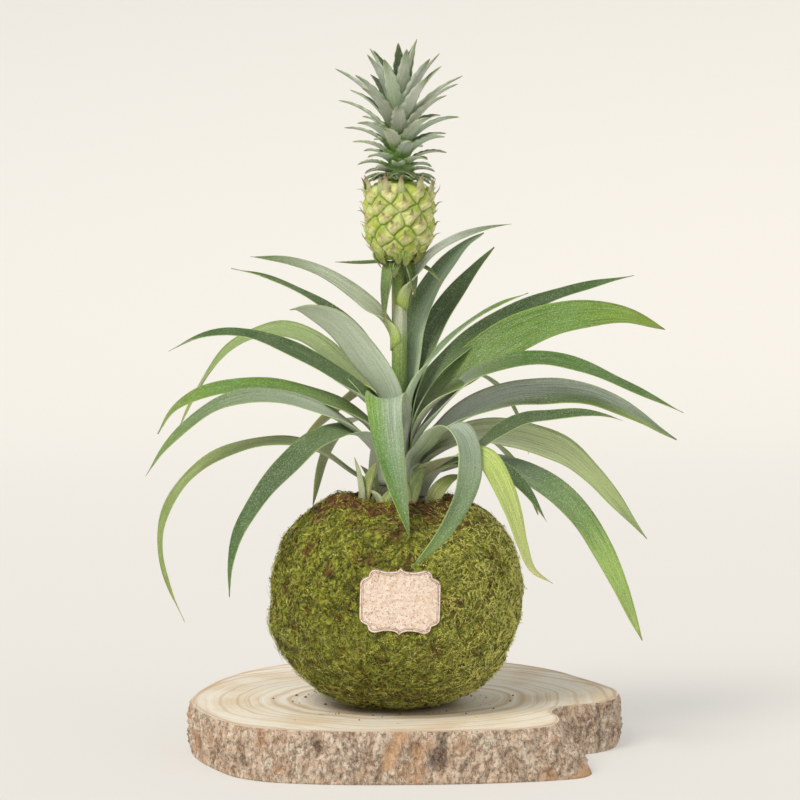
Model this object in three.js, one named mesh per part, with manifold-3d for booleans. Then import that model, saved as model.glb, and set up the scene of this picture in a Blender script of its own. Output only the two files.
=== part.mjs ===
// A pineapple kokedama: a small fruiting pineapple plant in a ball of soil wrapped with moss and bound
// with thread, on a slice of tree trunk. A blank cork label is set into the front of the moss.
// Millimetres, +Z up, front towards -Y. The origin is on the slice's underside, below the ball's centre.
import * as THREE from "three";
import { mergeVertices } from "three/addons/utils/BufferGeometryUtils.js";
import Module from "manifold-3d";

const wasm = await Module();
wasm.setup();

// Driving dimensions
const GAP = 0.35; // clearance between pieces that touch
const SLICE = { thickness: 38, points: 62, barkRelief: 2.4, levels: [0, 0.12, 0.5, 0.88, 1] };
const BALL = { radius: 93, centre: 118, rise: 82, drop: 81.5, power: 2.4, lowPower: 2.2, sides: 28, lump: 1.6 };
const MOSS = { thickness: 10, mouth: 46 };
const SOIL = { crown: 192, edge: 189, holeFloor: 160 };
const THREAD = { radius: 0.6, standOff: 1.9, steps: 22, turn: 1.93, tilts: [38, 46, 41, 50] };
const LABEL = { width: 58, height: 49, thickness: 2.6, x: 3, centre: 127, lean: 1.5, front: -91.2 };
const STEM = { x: 2.5, root: 10, plate: 22, stalk: 6, plateTop: 216, top: 371.5 };
const SHEATH = { firstRadius: 7.3, pitch: 1.4, share: 0.25, topOfFirst: 262, topStep: 6.6, flare: 0.15 };
const BLADE = { stations: 12, thickness: 1.3, edge: 0.8, tip: 1, columns: [-1, 0, 1] };
const FRUIT = { radius: 24.7, length: 58.5, eyesRound: 8, levels: 7, eyeRise: 2, skew: 0.24, widest: 0.55 };
const CROWN = { leaves: 34, coreRadius: 9.5, coreHeight: 49, turn: 137.5 };

// The rosette's leaves, from the inmost ring of sheaths outwards. heading is the compass direction in
// degrees (0 right, 90 back, 270 front), turn how far it swings by the tip, roll the twist of the blade,
// fold the angle of its channel, taper how late it narrows, and path its [reach, height] points beyond
// the sheath.
const LEAVES = [
  { name: "leaf_back_right_upright", ring: 0, heading: 57, width: 22, fold: 55, roll: 12, taper: 4,
    path: [[14, 296], [20, 322], [38, 346], [62, 366], [92, 384], [123, 395]] },
  { name: "leaf_back_left_slender", ring: 0, heading: 158, width: 15, fold: 70, roll: -28, taper: 2.4,
    path: [[18, 290], [35, 318], [62, 338], [90, 352], [115, 361], [140, 366]] },
  { name: "leaf_front_right_rising", ring: 0, heading: 335, width: 15, fold: 60, roll: 34, taper: 2.4,
    path: [[17, 285], [34, 306], [58, 326], [82, 339], [104, 347]] },
  { name: "leaf_back_right_tall", ring: 1, heading: 43, width: 24, fold: 50, roll: 22, taper: 3.4,
    path: [[15, 284], [24, 304], [41, 328], [62, 350], [82, 368], [101, 383]] },
  { name: "leaf_left_broad", ring: 1, heading: 222, width: 28, fold: 42, roll: 24, taper: 8,
    path: [[18, 278], [38, 302], [60, 322], [80, 332], [96, 336], [106, 335]] },
  { name: "leaf_back_left_drooping", ring: 1, heading: 133, width: 19, fold: 50, roll: 0, taper: 3,
    path: [[17, 268], [34, 275], [52, 268], [80, 252], [106, 234], [126, 212]] },
  { name: "leaf_right_slender", ring: 2, heading: 27, width: 17, fold: 55, roll: 44, taper: 3.6,
    path: [[25, 280], [50, 304], [75, 321], [100, 333], [134, 345], [170, 354], [208, 361]] },
  { name: "leaf_back_arching", ring: 2, heading: 95, width: 21, fold: 60, roll: 0, taper: 2.6,
    path: [[22, 258], [50, 270], [84, 262], [115, 235], [138, 196]] },
  { name: "leaf_left_long", ring: 2, heading: 174, width: 27, fold: 60, roll: -34, taper: 1.9,
    path: [[22, 262], [40, 278], [63, 294], [86, 306], [112, 315], [135, 317], [155, 313], [176, 303]] },
  { name: "leaf_front_middle", ring: 2, heading: 246, turn: 29, width: 34, fold: 75, roll: 0, taper: 2.4,
    path: [[19, 254], [32, 268], [46, 267], [58, 243], [70, 212], [85, 172]] },
  { name: "leaf_right_broad", ring: 3, heading: 13, width: 33, fold: 34, roll: 58, taper: 4.6,
    path: [[26, 264], [45, 282], [64, 299], [88, 314], [118, 326], [149, 331], [178, 330], [210, 319]] },
  { name: "leaf_left_back_arching", ring: 3, heading: 150, width: 18, fold: 45, roll: -40, taper: 7,
    path: [[26, 266], [52, 294], [80, 313], [106, 319], [132, 314], [154, 303], [172, 286], [188, 264],
      [204, 238]] },
  { name: "leaf_front_right_hooked", ring: 6, heading: 334, turn: -60, width: 27, fold: 50, roll: 0, taper: 2.6,
    path: [[27, 232], [38, 243], [53, 247], [70.5, 239], [88, 223], [103, 201], [109, 175], [104, 151]] },
  { name: "leaf_right_arching", ring: 4, heading: 1, width: 19, fold: 50, roll: 42, taper: 3.4,
    path: [[28, 256], [52, 282], [78, 294], [108, 297.5], [138, 291.5], [168, 278.6], [194, 266.5], [214, 257]] },
  { name: "leaf_back_right_thin", ring: 4, heading: 58, width: 10, fold: 50, roll: 0, taper: 3,
    path: [[24, 254], [56, 276], [92, 284], [130, 280], [164, 264], [190, 238], [202, 214]] },
  { name: "leaf_left_upper_droop", ring: 4, heading: 172, turn: -4, width: 19, fold: 50, roll: -40,
    taper: 6, path: [[24, 247], [48, 263], [78, 272], [110, 276], [138, 274], [161, 267], [178, 256],
      [190, 239]] },
  { name: "leaf_front_left_hooked", ring: 5, heading: 205, turn: 6, width: 28, fold: 45, roll: -38,
    taper: 1.7, path: [[24, 234], [34, 241], [48, 243], [70, 237], [90, 222], [107, 207], [121, 191],
      [134, 172], [141, 150], [143, 128]] },
  { name: "leaf_right_long", ring: 5, heading: 8, width: 28, fold: 60, roll: 50, taper: 4,
    path: [[30, 238], [46, 252], [62, 261], [85, 268.7], [108, 271], [127, 271.5], [147, 268.3], [168.5, 260],
      [187, 250.5], [201, 242], [214, 235]] },
  { name: "leaf_back_low_right", ring: 5, heading: 84, width: 20, fold: 55, roll: 0, taper: 2.6,
    path: [[28, 243], [58, 252], [92, 243], [122, 217], [142, 178]] },
  { name: "leaf_back_low_left", ring: 5, heading: 119, width: 19, fold: 55, roll: 0, taper: 2.6,
    path: [[28, 240], [60, 249], [96, 240], [126, 212], [146, 172]] },
  { name: "leaf_left_lower_droop", ring: 6, heading: 190, width: 22, fold: 50, roll: -36, taper: 2.8,
    path: [[28, 237], [46, 252], [70, 263], [92, 269], [114, 270], [137, 264], [159, 249], [177, 231],
      [190, 212]] },
  { name: "leaf_right_green", ring: 6, heading: 44, width: 20, fold: 45, roll: 20, taper: 4.4,
    path: [[32, 232], [56, 240], [84, 238], [112, 224], [136, 200], [154, 170]] },
  { name: "leaf_right_dark", ring: 7, heading: 338, width: 22, fold: 45, roll: 40, taper: 2.2,
    path: [[34, 216], [48, 222], [64, 232.6], [80, 244.8], [99, 254], [119, 257], [144, 259.7], [162, 258.3],
      [174, 255]] },
  { name: "leaf_right_back_droop", ring: 7, heading: 18, width: 31, fold: 40, roll: 58, taper: 3.6,
    path: [[30, 226], [56, 238], [84, 239], [112, 233], [135, 224], [156, 207], [175, 187], [190, 170],
      [203, 155.5]] },
  { name: "leaf_back_left_low", ring: 7, heading: 100, width: 18, fold: 50, roll: 0, taper: 2.6,
    path: [[32, 228], [62, 234], [96, 218], [120, 186], [134, 146]] },
  { name: "leaf_right_hanging", ring: 8, heading: 349, turn: -5, width: 20, fold: 38, roll: 62, taper: 5,
    path: [[34, 214], [58, 221], [80, 218], [101, 211], [121, 199], [139, 181], [154, 158], [167, 133],
      [178, 108], [185, 93]] },
  { name: "leaf_front_right_yellow", ring: 9, heading: 317, turn: 6, width: 25, fold: 36, roll: 24, taper: 2,
    path: [[32, 214], [52, 226], [68, 230], [84, 226], [97, 209], [107, 188], [114, 166], [122, 148], [138, 139]] },
  { name: "leaf_left_thin_curl", ring: 9, heading: 181, turn: -4, width: 14, fold: 50, roll: -42, taper: 3,
    path: [[36, 212], [56, 226], [77, 234], [98, 235], [120, 231], [142, 222], [160, 207], [172, 190],
      [179, 171], [180, 150], [174, 124], [163, 98]] },
  { name: "leaf_right_short", ring: 10, heading: 336, width: 19, fold: 45, roll: 30, taper: 2.6,
    path: [[31, 212], [46, 221], [64, 224], [84, 217], [102, 202], [118, 180]] },
];

// Two leaves that clasp the bare stalk above the rosette: foot and top are the sheath's heights.
const STALK_LEAVES = [
  { name: "stalk_leaf_left", heading: 190, width: 13, fold: 45, roll: -62, taper: 3, foot: 304, top: 316,
    path: [[17, 332], [36, 349], [59, 363], [84, 371], [112, 374]] },
  { name: "stalk_leaf_right", heading: 330, turn: 14, width: 10, fold: 50, roll: 62, taper: 2.4, foot: 334,
    top: 344, path: [[10, 352], [15, 363], [25, 375], [38, 384], [54, 391], [70, 395.5], [86, 398]] },
];

// Young side shoots that stand in the soil round the plant, their blades as [heading, length, lean, width].
const SHOOTS = [
  { name: "shoot_left", at: [-25, -28], blades: [[150, 38, 8, 9], [20, 36, 16, 8.5]] },
  { name: "shoot_middle", at: [9, -38], blades: [[20, 34, 20, 11], [200, 26, 8, 7]] },
  { name: "shoot_right", at: [25, -30], blades: [[10, 34, 38, 11.5], [250, 12, 20, 7]] },
  { name: "shoot_small", at: [-10, -39], blades: [[0, 16, 22, 7], [170, 17, 28, 7]] },
  { name: "shoot_back", at: [-14, 35], blades: [[60, 36, 16, 9], [180, 30, 22, 8]] },
];

// Materials
const paint = (color, roughness = 0.7) => new THREE.MeshStandardMaterial({ color, roughness, metalness: 0 });
const WOOD = paint(0xd9bf94, 0.8);
const SOIL_BROWN = paint(0x4a2f1d, 0.95);
const MOSS_GREEN = paint(0x6b7a22, 1);
const THREAD_GREEN = paint(0x3d4a1c, 0.6);
const CORK = paint(0xe0bf9d, 0.85);
const LEAF_GREEN = paint(0x6f8768, 0.5);
const STALK_GREEN = paint(0x6f9a3c, 0.5);
const FRUIT_GREEN = paint(0xa9b84e, 0.6);
const CROWN_GREEN = paint(0x8ea38c, 0.6);

// Helpers
const rad = THREE.MathUtils.degToRad;
const smooth = (a, b, x) => THREE.MathUtils.smoothstep(x, a, b);
const mix = THREE.MathUtils.lerp;

// A repeatable sequence of numbers from 0 to 1.
function randomFrom(seed) {
  let state = seed;
  return () => {
    state = (state * 1664525 + 1013904223) % 4294967296;
    return state / 4294967296;
  };
}

function geometryOf(vertices, triangles) {
  const made = new THREE.BufferGeometry();
  made.setAttribute("position", new THREE.Float32BufferAttribute(vertices.flat(), 3));
  made.setIndex(triangles.flat());
  return made;
}

function solidFrom(geometry) {
  const bare = new THREE.BufferGeometry();
  bare.setAttribute("position", geometry.getAttribute("position"));
  bare.setIndex(geometry.index);
  const merged = mergeVertices(bare, 1e-3);
  const triVerts = new Uint32Array(merged.index.array);
  return new wasm.Manifold(
    new wasm.Mesh({ numProp: 3, vertProperties: merged.attributes.position.array, triVerts }),
  );
}

function geometryFrom(solid) {
  const mesh = solid.getMesh();
  const made = new THREE.BufferGeometry();
  made.setAttribute("position", new THREE.BufferAttribute(mesh.vertProperties, 3));
  made.setIndex(new THREE.BufferAttribute(mesh.triVerts, 1));
  return made;
}

function named(name, geometry, material) {
  const mesh = new THREE.Mesh(geometry, material);
  mesh.name = name;
  return mesh;
}

// A closed skin over rings of points that each run anticlockwise seen from above, lowest ring first.
function skin(rings) {
  const sides = rings[0].length;
  const triangles = [];
  for (let k = 0; k + 1 < rings.length; k++)
    for (let i = 0; i < sides; i++) {
      const j = (i + 1) % sides;
      const [a, b] = [k * sides + i, k * sides + j];
      const [c, d] = [a + sides, b + sides];
      triangles.push([a, b, d], [a, d, c]);
    }
  const vertices = rings.flat();
  const last = (rings.length - 1) * sides;
  const middle = (ring) => [0, 1, 2].map((n) => ring.reduce((sum, p) => sum + p[n], 0) / sides);
  vertices.push(middle(rings[0]), middle(rings.at(-1)));
  const [low, high] = [vertices.length - 2, vertices.length - 1];
  for (let i = 0; i < sides; i++) {
    const j = (i + 1) % sides;
    triangles.push([low, j, i], [high, last + i, last + j]);
  }
  return geometryOf(vertices, triangles);
}

// A solid of revolution about +Z from [radius, height] points, lowest first on the outside.
function turned(profile, sides, x = 0) {
  const points = profile.map(([r, z]) => new THREE.Vector2(r, z));
  return new THREE.LatheGeometry(points, sides).rotateX(Math.PI / 2).translate(x, 0, 0);
}

// A leaf blade along points in space. side gives the width's direction at a share s of the way,
// width and fold its breadth and channel angle there, roll its twist. grow swells it on every side.
function blade({ points, stations, columns, side, width, fold, roll, thickness, edge, grow = 0 }) {
  const curve = new THREE.CatmullRomCurve3(points, false, "centripetal");
  const rings = [];
  for (let k = 0; k < stations; k++) {
    const s = k / (stations - 1);
    const along = curve.getTangentAt(s);
    const beyond = k === 0 ? -grow : k === stations - 1 ? grow : 0;
    const centre = curve.getPointAt(s).addScaledVector(along, beyond);
    const across = side(s).clone().addScaledVector(along, -side(s).dot(along)).normalize();
    across.applyAxisAngle(along, rad(roll(s)));
    const inner = new THREE.Vector3().crossVectors(along, across);
    const half = width(s) / 2 + grow;
    const bend = Math.max(rad(fold(s)) / 2, 1e-3) * (half / (half - grow));
    const place = (u, lift) => {
      const radius = half / bend;
      return centre
        .clone()
        .addScaledVector(across, (radius - lift) * Math.sin(u * bend))
        .addScaledVector(inner, radius - (radius - lift) * Math.cos(u * bend))
        .toArray();
    };
    const deep = (u) => mix(thickness, edge, u * u) / 2 + grow;
    const front = columns.map((u) => place(u, deep(u)));
    const back = [...columns].reverse().map((u) => place(u, -deep(u)));
    rings.push([...front, ...back]);
  }
  return closedRings(rings);
}

// Joins rings of a thin flat section into one closed body, with the end rings capped across.
function closedRings(rings) {
  const sides = rings[0].length;
  const half = sides / 2;
  const triangles = [];
  for (let k = 0; k + 1 < rings.length; k++)
    for (let i = 0; i < sides; i++) {
      const j = (i + 1) % sides;
      const [a, b] = [k * sides + i, k * sides + j];
      const [c, d] = [a + sides, b + sides];
      if (i < half) triangles.push([a, d, b], [a, c, d]);
      else triangles.push([a, c, b], [b, c, d]);
    }
  const cap = (k, flip) => {
    for (let i = 0; i + 1 < half; i++) {
      const [a, b] = [k * sides + i, k * sides + i + 1];
      const [c, d] = [k * sides + sides - 1 - i, k * sides + sides - 2 - i];
      const faces = [[a, b, d], [a, d, c]];
      triangles.push(...(flip ? faces.map((f) => f.toReversed()) : faces));
    }
  };
  cap(0, false);
  cap(rings.length - 1, true);
  return geometryOf(rings.flat(), triangles);
}

// Radius of the moss ball's own outline at a height, with an inset for the surfaces inside it.
function ballRadius(z, inset = 0) {
  const reach = z > BALL.centre ? BALL.rise : BALL.drop;
  const share = Math.min(Math.abs(z - BALL.centre) / (reach - inset), 1);
  const power = z > BALL.centre ? BALL.power : BALL.lowPower;
  return (BALL.radius - inset) * (1 - share ** power) ** (1 / power);
}

// Height on the upper half of the ball's outline at a radius.
function ballTop(r, inset = 0) {
  const share = (r / (BALL.radius - inset)) ** BALL.power;
  return BALL.centre + (BALL.rise - inset) * (1 - share) ** (1 / BALL.power);
}

// How far the moss stands out from the plain outline at a compass direction and height.
function mossLump(turn, z) {
  return (Math.sin(3 * turn + z * 0.05) + Math.sin(5 * turn - z * 0.09)) * 0.5 * BALL.lump;
}

// The trunk slice: its top outline in plan, anticlockwise from the left, with the notch at its right.
// A third number is how far the broken edge below that point stands out to the right.
const SLICE_OUTLINE = [
  [-156, 17], [-152, -12], [-143, -38], [-128, -68], [-113, -90], [-91, -104], [-62, -111], [-34, -114],
  [3, -114], [40, -112], [78, -107], [100, -100, 10], [112, -90, 22], [118, -72, 24], [118, -54, 16],
  [115, -38, 4], [122, -18], [138, -9], [153, 0], [166, 17], [172, 51], [164, 78], [145, 119], [130, 148],
  [112, 170], [93, 187], [60, 202], [3, 208], [-40, 202], [-79, 190], [-102, 170], [-123, 142], [-140, 104],
  [-151, 60],
];

function barkWave(turn, level) {
  return Math.sin(turn * 23 + level * 2) * 0.5 + Math.sin(turn * 41 - level * 5) * 0.3 + Math.sin(turn * 9) * 0.4;
}

function trunkSlice() {
  const outline = new THREE.CatmullRomCurve3(
    SLICE_OUTLINE.map(([x, y, spread = 0]) => new THREE.Vector3(x, y, spread)), true, "centripetal");
  const middle = new THREE.Vector3(6, 30, 0);
  const rings = SLICE.levels.map((level) =>
    Array.from({ length: SLICE.points }, (_, i) => {
      const p = outline.getPoint(i / SLICE.points);
      const spread = p.z * (1 - level);
      const outward = p.clone().setZ(0).sub(middle).normalize();
      const swell = Math.sin(Math.PI * level) * SLICE.barkRelief;
      p.addScaledVector(outward, swell * (0.6 + barkWave(Math.atan2(outward.y, outward.x), level)));
      return [p.x + spread, p.y, level * SLICE.thickness];
    }),
  );
  return skin(rings);
}

const floorOfBall = SLICE.thickness + GAP;

// The moss blanket: a thick bowl round the soil, open at the top, with a flat foot and soft lumps.
function mossCover() {
  const rim = ballTop(MOSS.mouth);
  const outside = [0.02, 0.1, 0.22, 0.36, 0.5, 0.64, 0.78, 0.9].map((share) => {
    const z = mix(floorOfBall, rim, share);
    return [ballRadius(z), z];
  });
  const inner = MOSS.thickness;
  const innerFloor = SLICE.thickness + inner;
  const innerRim = ballTop(MOSS.mouth, inner);
  const inside = [0.93, 0.75, 0.5, 0.25, 0.06].map((share) => {
    const z = mix(innerFloor, innerRim, share);
    return [ballRadius(z, inner), z];
  });
  const profile = [
    [0, floorOfBall], [ballRadius(floorOfBall) * 0.92, floorOfBall], ...outside, [MOSS.mouth, rim],
    [MOSS.mouth, innerRim], ...inside, [ballRadius(innerFloor + 0.6, inner) * 0.9, innerFloor], [0, innerFloor],
  ];
  const geometry = turned(profile, BALL.sides);
  const position = geometry.getAttribute("position");
  for (let i = 0; i < position.count; i++) {
    const p = new THREE.Vector3().fromBufferAttribute(position, i);
    const radius = Math.hypot(p.x, p.y);
    const isOutside = radius > ballRadius(p.z) - 2 && p.z > floorOfBall + 1 && p.z < rim - 1;
    if (!isOutside) continue;
    const lump = mossLump(Math.atan2(p.y, p.x), p.z);
    p.x *= 1 + lump / radius;
    p.y *= 1 + lump / radius;
    position.setXYZ(i, p.x, p.y, p.z);
  }
  return geometryFrom(solidFrom(geometry).subtract(solidFrom(labelPlate(GAP, 12))));
}

// The soil ball inside, with its bare top, and plain holes for the stem and the side shoots.
function soilCore() {
  const inset = MOSS.thickness + GAP;
  const floor = SLICE.thickness + inset;
  const radius = MOSS.mouth - GAP;
  const shoulder = ballTop(radius, inset);
  const side = [0.06, 0.25, 0.5, 0.75, 0.93].map((share) => {
    const z = mix(floor, shoulder, share);
    return [ballRadius(z, inset), z];
  });
  const profile = [
    [0, floor], [ballRadius(floor + 0.6, inset) * 0.9, floor], ...side, [radius, shoulder],
    [radius, SOIL.edge], [radius * 0.7, SOIL.crown - 0.6], [0, SOIL.crown],
  ];
  let soil = solidFrom(turned(profile, BALL.sides));
  const hole = (x, y, r, z, sides) =>
    solidFrom(new THREE.CylinderGeometry(r, r, 60, sides).rotateX(Math.PI / 2).translate(x, y, z + 30));
  soil = soil.subtract(hole(STEM.x, 0, STEM.root + 2 * GAP, SOIL.holeFloor, 14));
  for (const { at } of SHOOTS)
    soil = soil.subtract(hole(at[0], at[1], SHOOT.radius + 2 * GAP, SHOOT.foot - GAP, 8));
  return geometryFrom(soil);
}

// Thread wound round the moss: tilted rings that cross, joined where they do.
function bindingThread() {
  const centre = new THREE.Vector3(0, 0, BALL.centre);
  const clear = solidFrom(labelPlate(1.5, 12));
  const rings = THREAD.tilts.map((tilt, n) => {
    const turn = n * THREAD.turn;
    const points = Array.from({ length: THREAD.steps }, (_, i) => {
      const angle = (i * 2 * Math.PI) / THREAD.steps;
      const level = new THREE.Vector3(Math.cos(angle), Math.sin(angle), 0);
      level.applyAxisAngle(new THREE.Vector3(1, 0, 0), rad(tilt));
      level.applyAxisAngle(new THREE.Vector3(0, 0, 1), turn);
      const reach = level.z > 0 ? BALL.rise : BALL.drop;
      const flat = Math.hypot(level.x, level.y) / BALL.radius;
      const power = level.z > 0 ? BALL.power : BALL.lowPower;
      const size = (flat ** power + Math.abs(level.z / reach) ** power) ** (-1 / power);
      const out = level.clone().normalize();
      level.multiplyScalar(size).add(centre);
      const lump = mossLump(Math.atan2(level.y, level.x), level.z);
      return level.addScaledVector(out, lump + THREAD.standOff);
    });
    return solidFrom(tube(points, THREAD.radius, centre));
  });
  return geometryFrom(wasm.Manifold.union(rings).subtract(clear));
}

// A closed ring of thread with a three-sided section that faces away from a centre.
function tube(points, radius, centre) {
  const count = points.length;
  const vertices = [];
  const triangles = [];
  points.forEach((p, i) => {
    const along = points[(i + 1) % count].clone().sub(points[(i + count - 1) % count]).normalize();
    const out = p.clone().sub(centre);
    out.addScaledVector(along, -out.dot(along)).normalize();
    const side = new THREE.Vector3().crossVectors(along, out);
    for (let n = 0; n < 3; n++) {
      const angle = (n * 2 * Math.PI) / 3;
      const v = p.clone().addScaledVector(out, radius * Math.cos(angle));
      vertices.push(v.addScaledVector(side, radius * Math.sin(angle)).toArray());
    }
  });
  for (let i = 0; i < count; i++)
    for (let n = 0; n < 3; n++) {
      const m = (n + 1) % 3;
      const [a, b] = [i * 3 + n, i * 3 + m];
      const [c, d] = [((i + 1) % count) * 3 + n, ((i + 1) % count) * 3 + m];
      triangles.push([a, b, d], [a, d, c]);
    }
  return geometryOf(vertices, triangles);
}

// Half of the label's upper edge, from its peak to its side, as shares of its half width and half height.
function labelOutline(grow) {
  const shape = new THREE.Shape();
  const [w, h] = [LABEL.width / 2 + grow, LABEL.height / 2 + grow];
  const quarter = [
    ["Q", 0.06, 0.9, 0.16, 0.88], ["Q", 0.36, 0.85, 0.5, 0.91], ["Q", 0.72, 0.98, 0.78, 0.8],
    ["Q", 0.8, 0.74, 0.79, 0.71], ["Q", 0.99, 0.66, 1, 0.48], ["L", 1, 0],
  ];
  const ends = quarter.map((c) => c.slice(-2));
  const back = quarter.map((c, i) => {
    const to = i ? ends[i - 1] : [0, 1];
    return c[0] === "Q" ? ["Q", c[1], c[2], ...to] : ["L", ...to];
  }).reverse();
  const draw = (list, sx, sy) =>
    list.forEach(([kind, ...v]) => {
      const p = v.map((n, i) => (i % 2 ? n * h * sy : n * w * sx));
      if (kind === "Q") shape.quadraticCurveTo(...p);
      else shape.lineTo(...p);
    });
  shape.moveTo(0, h);
  draw(quarter, 1, 1);
  draw(back, 1, -1);
  draw(quarter, -1, -1);
  draw(back, -1, 1);
  return shape;
}

// The label, or the room it needs: grown all round, with some more in front of it.
function labelPlate(grow = 0, more = 0) {
  const deep = LABEL.thickness + 2 * grow + more;
  return new THREE.ExtrudeGeometry(labelOutline(grow), { depth: deep, bevelEnabled: false, curveSegments: 2 })
    .rotateZ(rad(-LABEL.lean))
    .rotateX(Math.PI / 2)
    .translate(LABEL.x, LABEL.front + LABEL.thickness + grow, LABEL.centre);
}

// The plant's stem: a root in the soil, a cone that carries the leaf sheaths, and the bare flower stalk.
const SHOOT = { radius: 3.2, foot: 178, roll: 60 };
const stemSpot = new THREE.Vector3(STEM.x, 0, 0);

function plateHeight(r) {
  const foot = SOIL.crown + GAP;
  return STEM.plateTop - ((r - STEM.stalk) * (STEM.plateTop - foot - 1.2)) / (STEM.plate - STEM.stalk);
}

function stem(grow = 0) {
  const foot = SOIL.crown + GAP;
  const swell = [[0, 0], [0.25, 0.25], [0.28, 0.9], [0.33, 0.2], [0.58, 0], [0.62, 0.8], [0.68, 0], [0.97, 0.4]];
  const profile = [
    [0, SOIL.holeFloor + GAP], [STEM.root - 2, SOIL.holeFloor + GAP], [STEM.root, SOIL.holeFloor + 6],
    [STEM.root, foot], [STEM.plate + grow, foot], [STEM.plate + grow, foot + 1.2 + grow],
    [STEM.stalk + grow, STEM.plateTop + grow],
    ...swell.map(([share, more]) => [
      STEM.stalk - 0.3 + more * 0.3 + grow, mix(STEM.plateTop, STEM.top, share),
    ]).slice(1),
    [STEM.stalk - 0.5 + grow, STEM.top], [0, STEM.top],
  ];
  return wasm.Manifold.union([solidFrom(turned(profile, 14, STEM.x)), ...underFruitBracts(grow)]);
}

// The narrow bracts that spread and hang below the fruit: heading, length, droop and width.
const UNDER_FRUIT = [
  [182, 48, -2, 4.5], [342, 46, 14, 4.5], [222, 50, 44, 11], [318, 28, 24, 11], [255, 15, 10, 9],
  [60, 40, 34, 9], [128, 32, 28, 9],
];

function underFruitBracts(grow) {
  return UNDER_FRUIT.map(([heading, length, droop, width]) => {
    const spread = Math.max(length - droop, 9);
    const at = (r, z) => polar(r, heading, STEM.top - 3.2 + z);
    const points = [at(3, -1), at(8, 1.5), at(8 + spread * 0.45, 1 - droop * 0.3), at(8 + spread * 0.8, -droop)];
    return solidFrom(blade({
      points, stations: 4, columns: [-1, 0, 1], side: () => tangential(heading), roll: () => 0,
      width: (s) => Math.max(width * (1 - s ** 2.4), 1), fold: () => 60, thickness: 1.1, edge: 0.8, grow,
    }));
  });
}

function polar(r, heading, z) {
  return new THREE.Vector3(r * Math.cos(rad(heading)), r * Math.sin(rad(heading)), z).add(stemSpot);
}

function tangential(heading) {
  return new THREE.Vector3(-Math.sin(rad(heading)), Math.cos(rad(heading)), 0);
}

// A strap leaf: a clasping sheath of a given radius between foot and top, then its free path.
function strapLeaf(row, grow) {
  const { heading, turn = 0, width, fold, roll, rollBy = 0.55, taper, path, radius, sheathWidth, foot, top } = row;
  const way = [[radius, foot], [radius, mix(foot, top, 0.6)], [radius + 0.6, top], ...path];
  const points = way.map(([r, z], k) => polar(r, heading + turn * (k / (way.length - 1)) ** 2, z));
  const length = new THREE.CatmullRomCurve3(points, false, "centripetal").getLength();
  const sheathShare = (top - foot) / length;
  return blade({
    points, stations: BLADE.stations, columns: BLADE.columns,
    side: (s) => tangential(heading + turn * s * s),
    roll: (s) => roll * smooth(sheathShare, rollBy, s),
    width: (s) => Math.max(
      mix(sheathWidth, width * (1 + SHEATH.flare * (1 - smooth(0.1, 0.5, s))),
        smooth(sheathShare * 0.5, sheathShare + 0.14, s)) * (1 - s ** taper), BLADE.tip),
    fold: (s) => mix(THREE.MathUtils.radToDeg(sheathWidth / radius), fold,
      smooth(sheathShare, sheathShare + 0.25, s)),
    thickness: BLADE.thickness, edge: BLADE.edge, grow,
  });
}

function rosetteLeaf(row, grow) {
  const radius = SHEATH.firstRadius + row.ring * SHEATH.pitch;
  const foot = plateHeight(radius - BLADE.thickness / 2) + GAP;
  const top = Math.max(SHEATH.topOfFirst - row.ring * SHEATH.topStep, foot + 4);
  const sheathWidth = Math.min(row.width, 2 * Math.PI * radius * SHEATH.share);
  return solidFrom(strapLeaf({ ...row, radius, foot, top, sheathWidth }, grow));
}

function stalkLeaf(row, grow) {
  return solidFrom(strapLeaf({ ...row, radius: STEM.stalk + 1.4, sheathWidth: 16, rollBy: 0.3 }, grow));
}

// A side shoot: a round foot in the soil and a few short pointed blades.
function shoot({ at, blades }, grow) {
  const stub = solidFrom(
    new THREE.CylinderGeometry(SHOOT.radius - 0.6, SHOOT.radius, SOIL.crown - SHOOT.foot, 8)
      .rotateX(Math.PI / 2).translate(at[0], at[1], (SHOOT.foot + SOIL.crown) / 2));
  const foot = new THREE.Vector3(at[0], at[1], SOIL.crown - 4);
  const leaves = blades.map(([heading, length, lean, width]) => {
    const out = new THREE.Vector3(Math.cos(rad(heading)), Math.sin(rad(heading)), 0);
    const up = (share, bend) => foot.clone()
      .addScaledVector(out, 0.5 + length * share * Math.sin(rad(lean * bend)))
      .add(new THREE.Vector3(0, 0, length * share * Math.cos(rad(lean * bend))));
    return solidFrom(blade({
      points: [up(0, 0), up(0.4, 0.6), up(0.75, 0.9), up(1, 1.15)], stations: 5, columns: [-1, 0, 1],
      side: () => tangential(heading), roll: () => SHOOT.roll, fold: () => 80, thickness: 1.2, edge: 0.8, grow,
      width: (s) => Math.max(Math.min(4 + 1.4 * width * s, width * (0.75 + 0.6 * s)) * (1 - s ** 2), 0.9),
    }));
  });
  return wasm.Manifold.union([stub, ...leaves]);
}

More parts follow.
